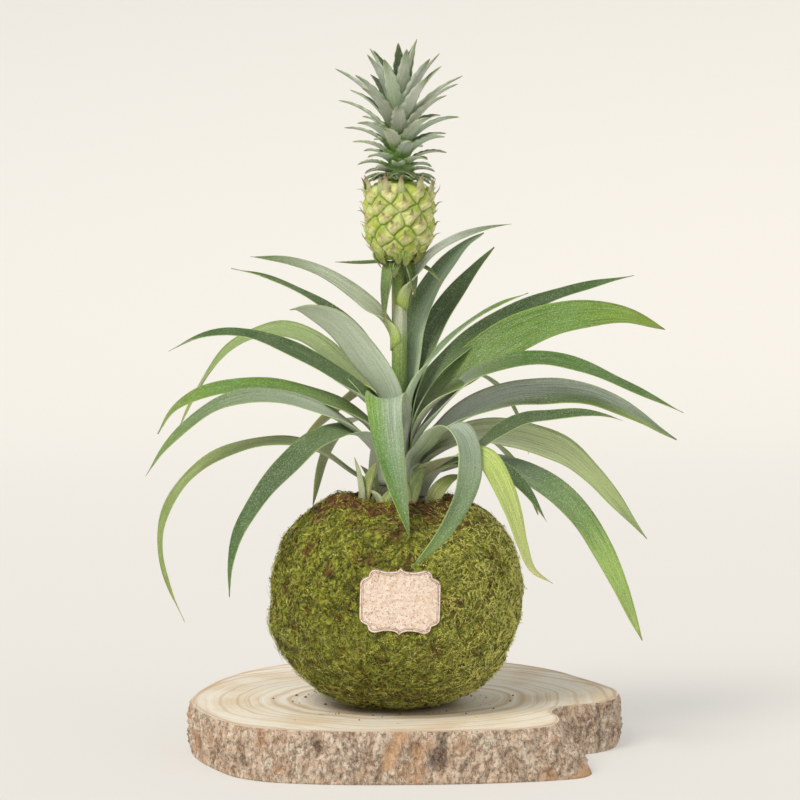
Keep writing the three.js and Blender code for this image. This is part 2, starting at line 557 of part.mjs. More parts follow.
// The fruit: rows of diamond-shaped eyes round an egg-shaped body, each raised to a pointed bract.
function fruit() {
  const { eyesRound, levels, radius, length, skew, eyeRise, widest } = FRUIT;
  const bottom = STEM.top + GAP;
  const body = (v, lift) => {
    const narrow = v < widest ? ((widest - v) / widest) ** 2.7 : ((v - widest) / (1 - widest)) ** 7;
    return radius * Math.sqrt(1 - 0.86 * narrow) + lift;
  };
  const surface = (column, row, lift, rise = 0) => {
    const v = row / levels;
    const angle = ((column + skew * row * 0.5) * 2 * Math.PI) / eyesRound;
    const r = body(v, lift);
    return [STEM.x + r * Math.cos(angle), r * Math.sin(angle), bottom + v * length + rise];
  };
  const vertices = [];
  const triangles = [];
  const keyOf = new Map();
  const corner = (column, row) => {
    const wrapped = ((column % eyesRound) + eyesRound) % eyesRound;
    const key = wrapped + "/" + row;
    if (!keyOf.has(key)) {
      keyOf.set(key, vertices.length);
      vertices.push(surface(wrapped, row, 0));
    }
    return keyOf.get(key);
  };
  const add = (...p) => vertices.push(surface(...p)) - 1;
  const eye = (column, row) => {
    const outer = [corner(column - 0.5, row), corner(column, row - 1), corner(column + 0.5, row),
      corner(column, row + 1)];
    const inset = [[-0.36, 0.05], [0, -0.66], [0.36, 0.05], [0, 0.62]];
    const inner = inset.map(([dc, dr]) => add(column + dc, row + dr, eyeRise));
    outer.forEach((a, i) => {
      const [b, c, d] = [outer[(i + 1) % 4], inner[i], inner[(i + 1) % 4]];
      triangles.push([a, b, d], [a, d, c]);
    });
    const scale = [[-0.1, 0.02], [0, -0.16], [0.1, 0.02], [0, 0.1]].map(([dc, dr]) =>
      add(column + dc, row + dr, eyeRise * 1.15));
    inner.forEach((a, i) => {
      const [b, c, d] = [inner[(i + 1) % 4], scale[i], scale[(i + 1) % 4]];
      triangles.push([a, b, d], [a, d, c]);
    });
    const tip = add(column, row + 0.1, eyeRise + 4, 2.2);
    scale.forEach((a, i) => triangles.push([a, scale[(i + 1) % 4], tip]));
  };
  for (let row = 1; row < levels; row++)
    for (let n = 0; n < eyesRound; n++) eye(n + (row % 2) * 0.5, row);
  closeEnd(vertices, triangles, corner, 0, levels);
  return geometryOf(vertices, triangles);
}

// Fills the half diamonds left at the fruit's two ends and closes them with flat discs.
function closeEnd(vertices, triangles, corner, low, high) {
  const count = FRUIT.eyesRound;
  const end = (row, flip) => {
    const inward = flip ? -1 : 1;
    const ring = Array.from({ length: count }, (_, n) => corner(n + ((row + 1) % 2) * 0.5, row));
    const next = Array.from({ length: count }, (_, n) =>
      corner(n + ((row + inward) % 2 === 0 ? 0.5 : 0) , row + inward));
    const centre = vertices.push([STEM.x, 0, vertices[ring[0]][2]]) - 1;
    for (let n = 0; n < count; n++) {
      const m = (n + 1) % count;
      const face = [ring[n], ring[m], centre];
      triangles.push(flip ? face : face.toReversed());
      const between = next.find((v) => isBetween(vertices, v, ring[n], ring[m]));
      const half = [ring[n], ring[m], between];
      triangles.push(flip ? half.toReversed() : half);
    }
  };
  end(low, false);
  end(high, true);
}

function isBetween(vertices, v, a, b) {
  const turn = (i) => Math.atan2(vertices[i][1], vertices[i][0] - STEM.x);
  const full = 2 * Math.PI;
  const step = (from, to) => (((turn(to) - turn(from)) % full) + full) % full;
  return step(a, v) < step(a, b);
}

// The crown's leaves from the lowest to the highest: [share of the way up, length, mean slope, how far the
// slope falls from foot to tip].
const CROWN_FORM = [
  [0, 18, -2, 50], [0.3, 34, 22, 50], [0.45, 46, 33, 50], [0.6, 55, 43, 44], [0.75, 64, 51, 30],
  [0.9, 66, 63, 20], [1, 58, 87, 4],
];

function crownForm(share) {
  const k = Math.max(1, CROWN_FORM.findIndex((row) => row[0] >= share));
  const [low, high] = [CROWN_FORM[k - 1], CROWN_FORM[k]];
  const t = (share - low[0]) / (high[0] - low[0]);
  return [1, 2, 3].map((n) => mix(low[n], high[n], t));
}

// The crown: a tapering core with spiralling pointed leaves, short and bent down below, upright above.
function crown() {
  const bottom = STEM.top + FRUIT.length + 2 * GAP;
  const random = randomFrom(7);
  const core = turned(
    [[0, bottom], [9, bottom], [CROWN.coreRadius, bottom + 4], [CROWN.coreRadius - 2.5, bottom + 26],
      [3, bottom + CROWN.coreHeight], [0, bottom + CROWN.coreHeight]], 9, STEM.x);
  const leaves = Array.from({ length: CROWN.leaves }, (_, n) => {
    const share = n / (CROWN.leaves - 1);
    const [length, slope, fall] = crownForm(share);
    const place = {
      z: bottom + 2 + (CROWN.coreHeight - 5) * share,
      r: mix(CROWN.coreRadius, 3, share) - 2,
    };
    const angle = { foot: slope + fall / 2, tip: slope - fall / 2 };
    const heading = n * CROWN.turn + 20;
    const points = crownLeafPath(place, angle, length * (0.92 + 0.16 * random()))
      .map(([r, z]) => polar(r, heading, z));
    return solidFrom(blade({
      points, stations: 4, columns: [-1, 0, 1], side: () => tangential(heading), roll: () => 0,
      fold: () => 75, thickness: 1.1, edge: 0.8,
      width: (s) => Math.max(mix(11, 17, Math.min(share * 2, 1)) * (0.4 + 2.4 * s) * (1 - s) ** 0.9, 0.8),
    }));
  });
  return geometryFrom(wasm.Manifold.union([solidFrom(core), ...leaves]));
}

// [radius, height] points along a leaf whose slope turns steadily from its foot to its tip.
function crownLeafPath({ r, z }, angle, length) {
  const steps = 6;
  const path = [[r, z]];
  for (let k = 0; k < steps; k++) {
    const slope = rad(mix(angle.foot, angle.tip, (k + 0.5) / steps));
    r += (length / steps) * Math.cos(slope);
    z += (length / steps) * Math.sin(slope);
    path.push([r, z]);
  }
  return path;
}

// What the pieces placed so far fill, each grown by the gap that the next ones keep from it.
const filled = [];

// Cuts from a piece what is filled already and keeps its largest remainder.
function settle(build, row) {
  let solid = build(row, 0);
  for (const other of filled) solid = solid.subtract(other);
  filled.push(build(row, GAP));
  return geometryFrom(solid.decompose().reduce((a, b) => (a.volume() > b.volume() ? a : b)));
}

// The whole object
const kokedama = new THREE.Group();
kokedama.add(named("trunk_slice", trunkSlice(), WOOD));
kokedama.add(named("moss_cover", mossCover(), MOSS_GREEN));
kokedama.add(named("soil_core", soilCore(), SOIL_BROWN));
kokedama.add(named("binding_thread", bindingThread(), THREAD_GREEN));
kokedama.add(named("cork_label", labelPlate(), CORK));
kokedama.add(named("stem", settle((_, grow) => stem(grow)), STALK_GREEN));
for (const row of STALK_LEAVES) kokedama.add(named(row.name, settle(stalkLeaf, row), LEAF_GREEN));
for (const row of LEAVES) kokedama.add(named(row.name, settle(rosetteLeaf, row), LEAF_GREEN));
for (const row of SHOOTS) kokedama.add(named(row.name, settle(shoot, row), LEAF_GREEN));
kokedama.add(named("fruit", fruit(), FRUIT_GREEN));
kokedama.add(named("crown", crown(), CROWN_GREEN));

export default kokedama;
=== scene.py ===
"""A pineapple kokedama: the looks of its leaves, fruit, moss, thread, label and wooden slice."""
from math import atan2, cos, exp, hypot, pi, radians, sin, tan

import bpy
import numpy as np
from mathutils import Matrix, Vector, noise


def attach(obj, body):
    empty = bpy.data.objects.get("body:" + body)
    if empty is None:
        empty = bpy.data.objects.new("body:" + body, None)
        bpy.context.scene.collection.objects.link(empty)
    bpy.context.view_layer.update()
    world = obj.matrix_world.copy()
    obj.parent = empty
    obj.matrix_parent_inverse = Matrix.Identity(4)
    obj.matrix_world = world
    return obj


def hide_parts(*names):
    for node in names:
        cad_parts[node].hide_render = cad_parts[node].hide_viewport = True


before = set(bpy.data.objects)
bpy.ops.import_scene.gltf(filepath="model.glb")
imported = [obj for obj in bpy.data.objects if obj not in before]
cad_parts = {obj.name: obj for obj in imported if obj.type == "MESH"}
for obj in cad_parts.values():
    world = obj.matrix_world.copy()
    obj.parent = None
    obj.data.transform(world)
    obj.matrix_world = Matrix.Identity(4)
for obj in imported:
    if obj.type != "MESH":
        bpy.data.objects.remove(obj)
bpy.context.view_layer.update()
MM = 0.001

# The camera of the photograph: 1.7 m in front of the plant, a little above its middle, looking down a bit
EYE, LOOKS_DOWN, FOCAL_LENGTH, SENSOR = (0.003, -1.7, 0.345), 2.63, 102, 36
lens = bpy.data.cameras.new("camera")
lens.lens, lens.sensor_width = FOCAL_LENGTH, SENSOR
camera = bpy.data.objects.new("camera", lens)
camera.location = EYE
camera.rotation_euler = (radians(90 - LOOKS_DOWN), 0, 0)
bpy.context.scene.collection.objects.link(camera)
bpy.context.scene.camera = camera

# Sizes shared with the part's source, in millimetres
SLICE_TOP = 38
GAP = 0.35
BALL = {"radius": 93, "centre": 118, "rise": 82, "drop": 81.5, "power": 2.4, "low_power": 2.2, "lump": 1.6}
MOUTH = 46
SOIL_CROWN, SOIL_EDGE = 192, 189
LABEL = {"x": 3, "width": 58, "height": 49, "thick": 2.6, "centre": 127, "lean": 1.5, "tilt": 1.5,
         "front": -91.2}
STEM = {"x": 2.5, "plate": 22, "stalk": 6, "plate_top": 216, "top": 371.5}
SHEATH = {"first": 7.3, "pitch": 1.4, "share": 0.32, "top": 262, "step": 6.6, "flare": 0.3}
FRUIT = {"radius": 24.7, "length": 58.5, "eyes": 8, "levels": 7, "rise": 2.1, "skew": 0.24, "widest": 0.55}
CROWN = {"leaves": 54, "fringe": 22, "core": 9.5, "height": 49, "turn": 137.5}
# The crown's leaves from the lowest to the highest: share of the way up, length, mean slope, fall of slope
CROWN_FORM = [(0, 18, -2, 50), (0.3, 34, 22, 50), (0.45, 46, 33, 50), (0.6, 55, 43, 44), (0.75, 64, 51, 30),
              (0.9, 66, 63, 20), (1, 58, 87, 4)]

# name, look, ring, heading, turn, width, fold, roll, taper, [reach, height] points beyond the sheath
LEAVES = [
    ("leaf_back_right_upright", "back", 0, 57, 0, 22, 55, 12, 4,
     [(14, 296), (20, 322), (38, 346), (62, 366), (92, 384), (123, 395)]),
    ("leaf_back_left_slender", "deep", 0, 158, 0, 15, 70, -28, 2.4,
     [(18, 290), (35, 318), (62, 338), (90, 352), (115, 361), (140, 366)]),
    ("leaf_front_right_rising", "silver", 0, 335, 0, 15, 60, 34, 2.4,
     [(17, 285), (34, 306), (58, 326), (82, 339), (104, 347)]),
    ("leaf_back_right_tall", "deep", 1, 43, 0, 24, 50, 22, 3.4,
     [(15, 284), (24, 304), (41, 328), (62, 350), (82, 368), (101, 383)]),
    ("leaf_left_broad", "pale", 1, 222, 0, 28, 42, 24, 8,
     [(18, 278), (38, 302), (60, 322), (80, 332), (96, 336), (106, 335)]),
    ("leaf_back_left_drooping", "yellow", 1, 133, 0, 19, 50, 0, 3,
     [(17, 268), (34, 275), (52, 268), (80, 252), (106, 234), (126, 212)]),
    ("leaf_right_slender", "deep", 2, 27, 0, 17, 55, 44, 3.6,
     [(25, 280), (50, 304), (75, 321), (100, 333), (134, 345), (170, 354), (208, 361)]),
    ("leaf_back_arching", "deep", 2, 95, 0, 21, 60, 0, 2.6,
     [(22, 258), (50, 270), (84, 262), (115, 235), (138, 196)]),
    ("leaf_left_long", "deep", 2, 174, 0, 27, 60, -34, 1.9,
     [(22, 262), (40, 278), (63, 294), (86, 306), (112, 315), (135, 317), (155, 313), (176, 303)]),
    ("leaf_front_middle", "front", 2, 246, 29, 34, 75, 0, 2.4,
     [(19, 254), (32, 268), (46, 267), (58, 243), (70, 212), (85, 172)]),
    ("leaf_right_broad", "bright", 3, 13, 0, 33, 34, 58, 4.6,
     [(26, 264), (45, 282), (64, 299), (88, 314), (118, 326), (149, 331), (178, 330), (210, 319)]),
    ("leaf_left_back_arching", "olive", 3, 150, 0, 18, 45, -40, 7,
     [(26, 266), (52, 294), (80, 313), (106, 319), (132, 314), (154, 303), (172, 286), (188, 264),
      (204, 238)]),
    ("leaf_front_right_hooked", "silver", 6, 334, -60, 27, 50, 0, 2.6,
     [(27, 232), (38, 243), (53, 247), (70.5, 239), (88, 223), (103, 201), (109, 175), (104, 151)]),
    ("leaf_right_arching", "base", 4, 1, 0, 19, 50, 42, 3.4,
     [(28, 256), (52, 282), (78, 294), (108, 297.5), (138, 291.5), (168, 278.6), (194, 266.5),
      (214, 257)]),
    ("leaf_back_right_thin", "olive", 4, 58, 0, 10, 50, 0, 3,
     [(24, 254), (56, 276), (92, 284), (130, 280), (164, 264), (190, 238), (202, 214)]),
    ("leaf_left_upper_droop", "bright", 4, 172, -4, 19, 50, -40, 6,
     [(24, 247), (48, 263), (78, 272), (110, 276), (138, 274), (161, 267), (178, 256), (190, 239)]),
    ("leaf_front_left_hooked", "deep", 5, 205, 6, 28, 45, -38, 1.7,
     [(24, 234), (34, 241), (48, 243), (70, 237), (90, 222), (107, 207), (121, 191), (134, 172),
      (141, 150), (143, 128)]),
    ("leaf_right_long", "halves", 5, 8, 0, 28, 60, 50, 4,
     [(30, 238), (46, 252), (62, 261), (85, 268.7), (108, 271), (127, 271.5), (147, 268.3),
      (168.5, 260), (187, 250.5), (201, 242), (214, 235)]),
    ("leaf_back_low_right", "deep", 5, 84, 0, 20, 55, 0, 2.6,
     [(28, 243), (58, 252), (92, 243), (122, 217), (142, 178)]),
    ("leaf_back_low_left", "bright", 5, 119, 0, 19, 55, 0, 2.6,
     [(28, 240), (60, 249), (96, 240), (126, 212), (146, 172)]),
    ("leaf_left_lower_droop", "silver", 6, 190, 0, 22, 50, -36, 2.8,
     [(28, 237), (46, 252), (70, 263), (92, 269), (114, 270), (137, 264), (159, 249), (177, 231),
      (190, 212)]),
    ("leaf_right_green", "bright", 6, 44, 0, 20, 45, 20, 4.4,
     [(32, 232), (56, 240), (84, 238), (112, 224), (136, 200), (154, 170)]),
    ("leaf_right_dark", "deep", 7, 338, 0, 22, 45, 40, 2.2,
     [(34, 216), (48, 222), (64, 232.6), (80, 244.8), (99, 254), (119, 257), (144, 259.7),
      (162, 258.3), (174, 255)]),
    ("leaf_right_back_droop", "pale", 7, 18, 0, 31, 40, 58, 3.6,
     [(30, 226), (56, 238), (84, 239), (112, 233), (135, 224), (156, 207), (175, 187), (190, 170),
      (203, 155.5)]),
    ("leaf_back_left_low", "deep", 7, 100, 0, 18, 50, 0, 2.6,
     [(32, 228), (62, 234), (96, 218), (120, 186), (134, 146)]),
    ("leaf_right_hanging", "lime", 8, 349, -5, 20, 38, 62, 5,
     [(34, 214), (58, 221), (80, 218), (101, 211), (121, 199), (139, 181), (154, 158), (167, 133),
      (178, 108), (185, 93)]),
    ("leaf_front_right_yellow", "yellow", 9, 317, 6, 25, 36, 24, 2,
     [(32, 214), (52, 226), (68, 230), (84, 226), (97, 209), (107, 188), (114, 166), (122, 148),
      (138, 139)]),
    ("leaf_left_thin_curl", "olive", 9, 181, -4, 14, 50, -42, 3,
     [(36, 212), (56, 226), (77, 234), (98, 235), (120, 231), (142, 222), (160, 207), (172, 190),
      (179, 171), (180, 150), (174, 124), (163, 98)]),
    ("leaf_right_short", "deep", 10, 336, 0, 19, 45, 30, 2.6,
     [(31, 212), (46, 221), (64, 224), (84, 217), (102, 202), (118, 180)]),
]

# name, look, heading, turn, width, fold, roll, taper, foot and top of the sheath, path
STALK_LEAVES = [
    ("stalk_leaf_left", "stalk", 190, 0, 13, 45, -62, 3, 304, 316,
     [(17, 332), (36, 349), (59, 363), (84, 371), (112, 374)]),
    ("stalk_leaf_right", "stalk", 330, 14, 10, 50, 62, 2.4, 334, 344,
     [(10, 352), (15, 363), (25, 375), (38, 384), (54, 391), (70, 395.5), (86, 398)]),
]

# name, place, blades as (heading, length, lean, width)
SHOOTS = [
    ("shoot_left", (-25, -28), [(150, 38, 8, 9), (20, 36, 16, 8.5)]),
    ("shoot_middle", (9, -38), [(20, 34, 20, 11), (200, 26, 8, 7)]),
    ("shoot_right", (25, -30), [(10, 34, 38, 11.5), (250, 12, 20, 7)]),
    ("shoot_small", (-10, -39), [(0, 16, 22, 7), (170, 17, 28, 7)]),
    ("shoot_back", (-14, 35), [(60, 36, 16, 9), (180, 30, 22, 8)]),
]

# heading, length, droop, width of the narrow bracts below the fruit
UNDER_FRUIT = [(182, 48, -2, 4.5), (342, 46, 14, 4.5), (222, 50, 44, 11), (318, 28, 24, 11), (255, 15, 10, 9),
               (60, 40, 34, 9), (128, 32, 28, 9)]

# The slice's outline from above, and how far its broken edge runs out below
SLICE_OUTLINE = [
    (-156, 17), (-152, -12), (-143, -38), (-128, -68), (-113, -90), (-91, -104), (-62, -111), (-34, -114),
    (3, -114), (40, -112), (78, -107), (100, -100, 10), (112, -90, 22), (118, -72, 24), (118, -54, 16),
    (115, -38, 4), (122, -18), (138, -9), (153, 0), (166, 17), (172, 51), (164, 78), (145, 119), (130, 148),
    (112, 170), (93, 187), (60, 202), (3, 208), (-40, 202), (-79, 190), (-102, 170), (-123, 142), (-140, 104),
    (-151, 60),
]

# For each look: the upper side's and the underside's colours at shares of the leaf's length, and the
# upper side's far half where it differs, all as (share, red, green, blue).
LEAF_LOOKS = {
    "deep": ([(0, 186, 196, 168), (0.14, 140, 158, 120), (0.3, 88, 114, 54), (0.6, 56, 90, 22),
         (0.85, 68, 108, 24), (1, 108, 142, 48)],
        [(0, 226, 234, 212), (0.25, 218, 228, 204), (0.7, 204, 218, 188), (1, 150, 172, 112)]),
    "bright": ([(0, 186, 196, 164), (0.16, 146, 166, 110), (0.34, 100, 138, 40), (0.7, 98, 150, 16),
         (1, 148, 186, 44)],
        [(0, 220, 226, 208), (0.3, 196, 206, 176), (0.8, 152, 174, 102), (1, 150, 176, 84)]),
    "base": ([(0, 222, 226, 212), (0.3, 206, 212, 198), (0.4, 130, 156, 90), (0.52, 84, 128, 30),
         (0.85, 80, 122, 30), (1, 116, 144, 72)],
        [(0, 232, 240, 220), (0.6, 212, 226, 194), (1, 166, 190, 120)]),
    "front": ([(0, 212, 218, 200), (0.32, 196, 206, 180), (0.42, 118, 164, 28), (0.7, 84, 138, 12),
         (1, 118, 158, 40)],
        [(0, 206, 210, 190), (0.5, 180, 188, 164), (1, 150, 170, 110)],
        [(0, 216, 222, 206), (0.4, 186, 200, 174), (0.7, 134, 164, 112), (1, 118, 150, 66)]),
    "back": ([(0, 220, 230, 206), (0.4, 196, 210, 182), (1, 166, 188, 144)],
        [(0, 214, 220, 206), (1, 160, 178, 146)],
        [(0, 190, 200, 168), (0.3, 84, 112, 52), (0.7, 60, 92, 26), (1, 96, 128, 46)]),
    "halves": ([(0, 214, 220, 206), (0.3, 126, 142, 110), (0.5, 74, 96, 44), (0.7, 108, 146, 50),
         (0.85, 182, 212, 110), (1, 176, 206, 106)],
        [(0, 216, 220, 206), (1, 174, 192, 136)],
        [(0, 222, 228, 216), (0.4, 192, 202, 186), (0.8, 172, 188, 160), (1, 140, 166, 110)]),
    "silver": ([(0, 222, 228, 212), (0.2, 198, 208, 192), (0.45, 160, 176, 148), (0.75, 116, 146, 84),
         (1, 134, 170, 62)],
        [(0, 234, 242, 222), (0.3, 228, 238, 216), (0.7, 214, 228, 198), (0.9, 166, 188, 124),
         (1, 156, 184, 84)]),
    "pale": ([(0, 222, 230, 206), (0.25, 214, 228, 192), (0.5, 208, 230, 168), (0.8, 204, 232, 148),
         (1, 160, 192, 100)],
        [(0, 232, 240, 222), (0.3, 230, 240, 220), (0.8, 228, 238, 214), (1, 206, 216, 192)]),
    "lime": ([(0, 196, 204, 176), (0.2, 146, 162, 126), (0.4, 106, 132, 84), (0.6, 124, 158, 70),
         (0.75, 172, 204, 92), (1, 184, 208, 104)],
        [(0, 206, 210, 190), (0.5, 176, 186, 150), (1, 170, 192, 110)]),
    "stalk": ([(0, 150, 174, 72), (0.06, 176, 194, 84), (0.12, 196, 208, 128), (0.22, 204, 212, 190),
         (0.6, 206, 214, 198), (0.85, 150, 168, 128), (1, 104, 132, 66)],
        [(0, 150, 174, 72), (0.06, 180, 204, 76), (0.12, 208, 222, 136), (0.22, 226, 236, 212),
         (0.7, 224, 234, 212), (1, 130, 154, 92)]),
    "olive": ([(0, 190, 198, 150), (0.3, 160, 178, 116), (0.8, 152, 182, 84), (1, 178, 194, 84)],
        [(0, 200, 204, 166), (0.5, 172, 182, 136), (1, 168, 178, 110)]),
    "yellow": ([(0, 200, 208, 146), (0.2, 190, 210, 104), (0.45, 196, 226, 108), (0.85, 214, 234, 140),
         (1, 216, 200, 140)],
        [(0, 196, 200, 160), (0.3, 176, 182, 148), (0.6, 184, 200, 110), (1, 204, 196, 140)]),
    "shoot": ([(0, 222, 212, 156), (0.25, 208, 218, 136), (0.7, 168, 192, 104), (1, 150, 170, 92)],
        [(0, 230, 222, 184), (0.3, 222, 228, 172), (1, 198, 212, 156)]),
    "crown": ([(0, 124, 180, 48), (0.2, 88, 124, 54), (0.6, 58, 88, 40), (0.93, 76, 94, 56),
         (1, 150, 116, 78)],
        [(0, 124, 190, 40), (0.2, 140, 192, 80), (0.36, 222, 238, 208), (0.75, 240, 250, 230),
         (0.92, 190, 212, 168), (1, 160, 134, 100)]),
    "bract": ([(0, 150, 178, 70), (0.5, 96, 126, 50), (1, 130, 140, 80)],
        [(0, 160, 184, 84), (0.5, 110, 140, 60), (1, 140, 150, 96)]),
    "scale": ([(0, 196, 200, 120), (0.4, 204, 196, 132), (0.75, 170, 112, 80), (1, 120, 76, 56)],
        [(0, 206, 208, 140), (0.5, 198, 176, 124), (1, 140, 94, 68)]),
    "flap": ([(0, 150, 176, 60), (0.55, 176, 190, 76), (0.8, 206, 196, 124), (0.92, 168, 112, 76),
         (1, 120, 72, 52)],
        [(0, 176, 192, 84), (0.6, 222, 222, 150), (0.9, 176, 120, 84), (1, 130, 84, 60)]),
}

# The stalk's colours at shares of its height, as (share, red, green, blue)
STALK_TONES = [(0, 70, 68, 34), (0.12, 84, 98, 42), (0.33, 98, 126, 44), (0.5, 124, 154, 62),
               (0.62, 148, 172, 84), (0.7, 206, 212, 186), (0.76, 200, 208, 176), (0.8, 204, 212, 96),
               (0.84, 150, 176, 70), (1, 104, 134, 44)]
DRY_TIP = (158, 126, 84)

# Blades: stations along a long leaf, how far the crown's teeth stand out, and the least fold in radians
STRAP_STATIONS, TOOTH, FLATTEST = 56, 0.07, 1e-3


def rgb(red, green, blue):
    """A screen colour from 0 to 255 as the linear colour that shaders take."""
    parts = [c / 255 for c in (red, green, blue)]
    return tuple(c / 12.92 if c < 0.04045 else ((c + 0.055) / 1.055) ** 2.4 for c in parts) + (1.0,)


def colours_at(shares, stops):
    """The linear colour at each share, from stops given as (share, red, green, blue)."""
    places, colours = [stop[0] for stop in stops], np.array([rgb(*stop[1:]) for stop in stops])
    return np.stack([np.interp(shares, places, colours[:, n]) for n in range(4)], -1)


def smoothstep(low, high, x):
    share = np.clip((x - low) / (high - low), 0, 1)
    return share * share * (3 - 2 * share)


class Value:
    """A value inside a material. Arithmetic on it adds Math nodes."""

    def __init__(self, finish, socket):
        self.finish, self.socket = finish, socket

    def maths(self, operation, *values):
        return self.finish.node("ShaderNodeMath", {"operation": operation}, *values)

    def __add__(self, other):
        return self.maths("ADD", self, other)

    def __sub__(self, other):
        return self.maths("SUBTRACT", self, other)

    def __rsub__(self, other):
        return self.maths("SUBTRACT", other, self)

    def __mul__(self, other):
        return self.maths("MULTIPLY", self, other)

    def __pow__(self, other):
        return self.maths("POWER", self, other)

    def between(self, low, high, start=0.0, end=1.0):
        """A smooth change from start to end as the value goes from low to high."""
        return self.finish.node("ShaderNodeMapRange", {"interpolation_type": "SMOOTHSTEP"},
                                self, low, high, start, end)


class Finish:
    """A material with one Principled shader, built from nodes."""

    def __init__(self, name):
        self.material = bpy.data.materials.new(name)
        self.material.use_nodes = True
        self.nodes, self.links = self.material.node_tree.nodes, self.material.node_tree.links
        self.shader = self.nodes["Principled BSDF"]

    def node(self, kind, settings=None, *values, out=0, **named):
        """Any node: its settings, its inputs by place and by name, and which output is wanted."""
        made = self.nodes.new(kind)
        for key, setting in (settings or {}).items():
            setattr(made, key, setting)
        for n, value in enumerate(values):
            self.feed(made.inputs[n], value)
        for name, value in named.items():
            self.feed(made.inputs[name.replace("_", " ")], value)
        return Value(self, made.outputs[out])

    def feed(self, socket, value):
        if isinstance(value, Value):
            self.links.new(value.socket, socket)
        elif value is not None:
            socket.default_value = value

    def here(self):
        return self.node("ShaderNodeTexCoord", out=3)

    def part(self, vector, n):
        return self.node("ShaderNodeSeparateXYZ", None, vector, out=n)

    def stretched(self, vector, by):
        return self.node("ShaderNodeVectorMath", {"operation": "MULTIPLY"}, vector, by)

    def noise(self, scale, vector=None, detail=3.0, roughness=0.55, distortion=0.0):
        return self.node("ShaderNodeTexNoise", None, Vector=vector or self.here(), Scale=scale,
                         Detail=detail, Roughness=roughness, Distortion=distortion)

    def attribute(self, name, out=2):
        """A mesh attribute: out 0 is its colour and 2 its number."""
        return self.node("ShaderNodeAttribute", {"attribute_name": name}, out=out)

    def ramp(self, value, *stops):
        """A colour ramp, with stops given as (place, red, green, blue)."""
        made = self.node("ShaderNodeValToRGB", None, value)
        elements = made.socket.node.color_ramp.elements
        while len(elements) < len(stops):
            elements.new(0.5)
        for element, (place, *colour) in zip(elements, stops):
            element.position, element.color = place, rgb(*colour)
        return made

    def coated(self, colour, *coats):
        """A colour under coats given as (colour, how much of it shows)."""
        for coat, share in coats:
            under, over = (c if isinstance(c, Value) else rgb(*c) for c in (colour, coat))
            colour = self.node("ShaderNodeMix", {"data_type": "RGBA"}, share, *[None] * 5, under, over,
                               out=2)
        return colour

    def bump(self, height, distance, strength=1.0):
        self.feed(self.shader.inputs["Normal"],
                  self.node("ShaderNodeBump", None, Height=height, Distance=distance, Strength=strength))

    def surface(self, **values):
        for name, value in values.items():
            self.feed(self.shader.inputs[name.replace("_", " ")], value)
        return self.material


def leaf_skin(name, gloss, silver, veins):
    """Leaf colours from the mesh, with fine lengthwise veins; silver is the strength of the pale scales."""
    skin = Finish(name)
    uv = skin.node("ShaderNodeUVMap", {"uv_map": "UVMap"})
    streaks, fine, dashes = (skin.noise(1.0, skin.stretched(uv, (across, along, 0)), detail=detail)
                             for across, along, detail in ((26, 1.4, 2.5), (95, 3, 1.5), (150, 26, 2.0)))
    blotches, grain = skin.noise(38.0, detail=4.0), skin.noise(1300.0, detail=1.0)
    off_centre = skin.part(uv, 0) - 0.5
    bloom = blotches.between(0.35, 0.66, silver * 0.3, silver)
    tone = skin.coated(skin.attribute("tone", 0),
                       ((172, 200, 80), (off_centre * off_centre).between(0.2, 0.246, 0.0, 0.55)),
                       ((24, 44, 8), streaks.between(0.42, 0.7, 0.0, veins)),
                       ((222, 230, 186), fine.between(0.5, 0.76, 0.0, 0.2)),
                       ((120, 116, 56), blotches.between(0.6, 0.78, 0.0, veins * 0.4)),
                       ((226, 238, 210), dashes.between(0.44, 0.68) * bloom),
                       ((238, 246, 226), grain.between(0.54, 0.72, 0.0, 0.34)),
                       ((40, 60, 20), grain.between(0.46, 0.3, 0.0, 0.26)))
    skin.bump(streaks * 0.7 + fine, 0.0007, 0.9)
    return skin.surface(Base_Color=tone, Roughness=blotches.between(0.2, 0.8, gloss - 0.06, gloss + 0.1))


def fruit_rind():
    rind = Finish("fruit_rind")
    fine, broad = rind.noise(420.0), rind.noise(90.0)
    tone = rind.coated(rind.attribute("tone", 0),
                       ((104, 124, 44), fine.between(0.5, 0.72, 0.0, 0.45)),
                       ((240, 236, 190), broad.between(0.48, 0.7, 0.0, 0.42)),
                       ((166, 104, 70), rind.noise(160.0, detail=4.0).between(0.62, 0.74, 0.0, 0.55)))
    rind.bump(fine + broad * 0.6, 0.0008, 0.7)
    return rind.surface(Base_Color=tone, Roughness=fine.between(0.3, 0.7, 0.42, 0.62))


def moss_mat():
    """The dark mat under the strands, brown with coir where the moss is thin."""
    mat = Finish("moss_mat")
    tufts = mat.noise(260.0, detail=4.0, distortion=1.0)
    green = mat.ramp(tufts, (0.3, 46, 42, 12), (0.48, 112, 114, 34), (0.66, 170, 174, 66))
    brown = mat.ramp(tufts, (0.32, 48, 28, 14), (0.68, 132, 86, 50))
    thin = mat.noise(60.0).between(0.56, 0.68, 0.0, 0.8) + mat.attribute("coir")
    mat.bump(tufts, 0.002)
    return mat.surface(Base_Color=mat.coated(green, (brown, thin)), Roughness=0.95)


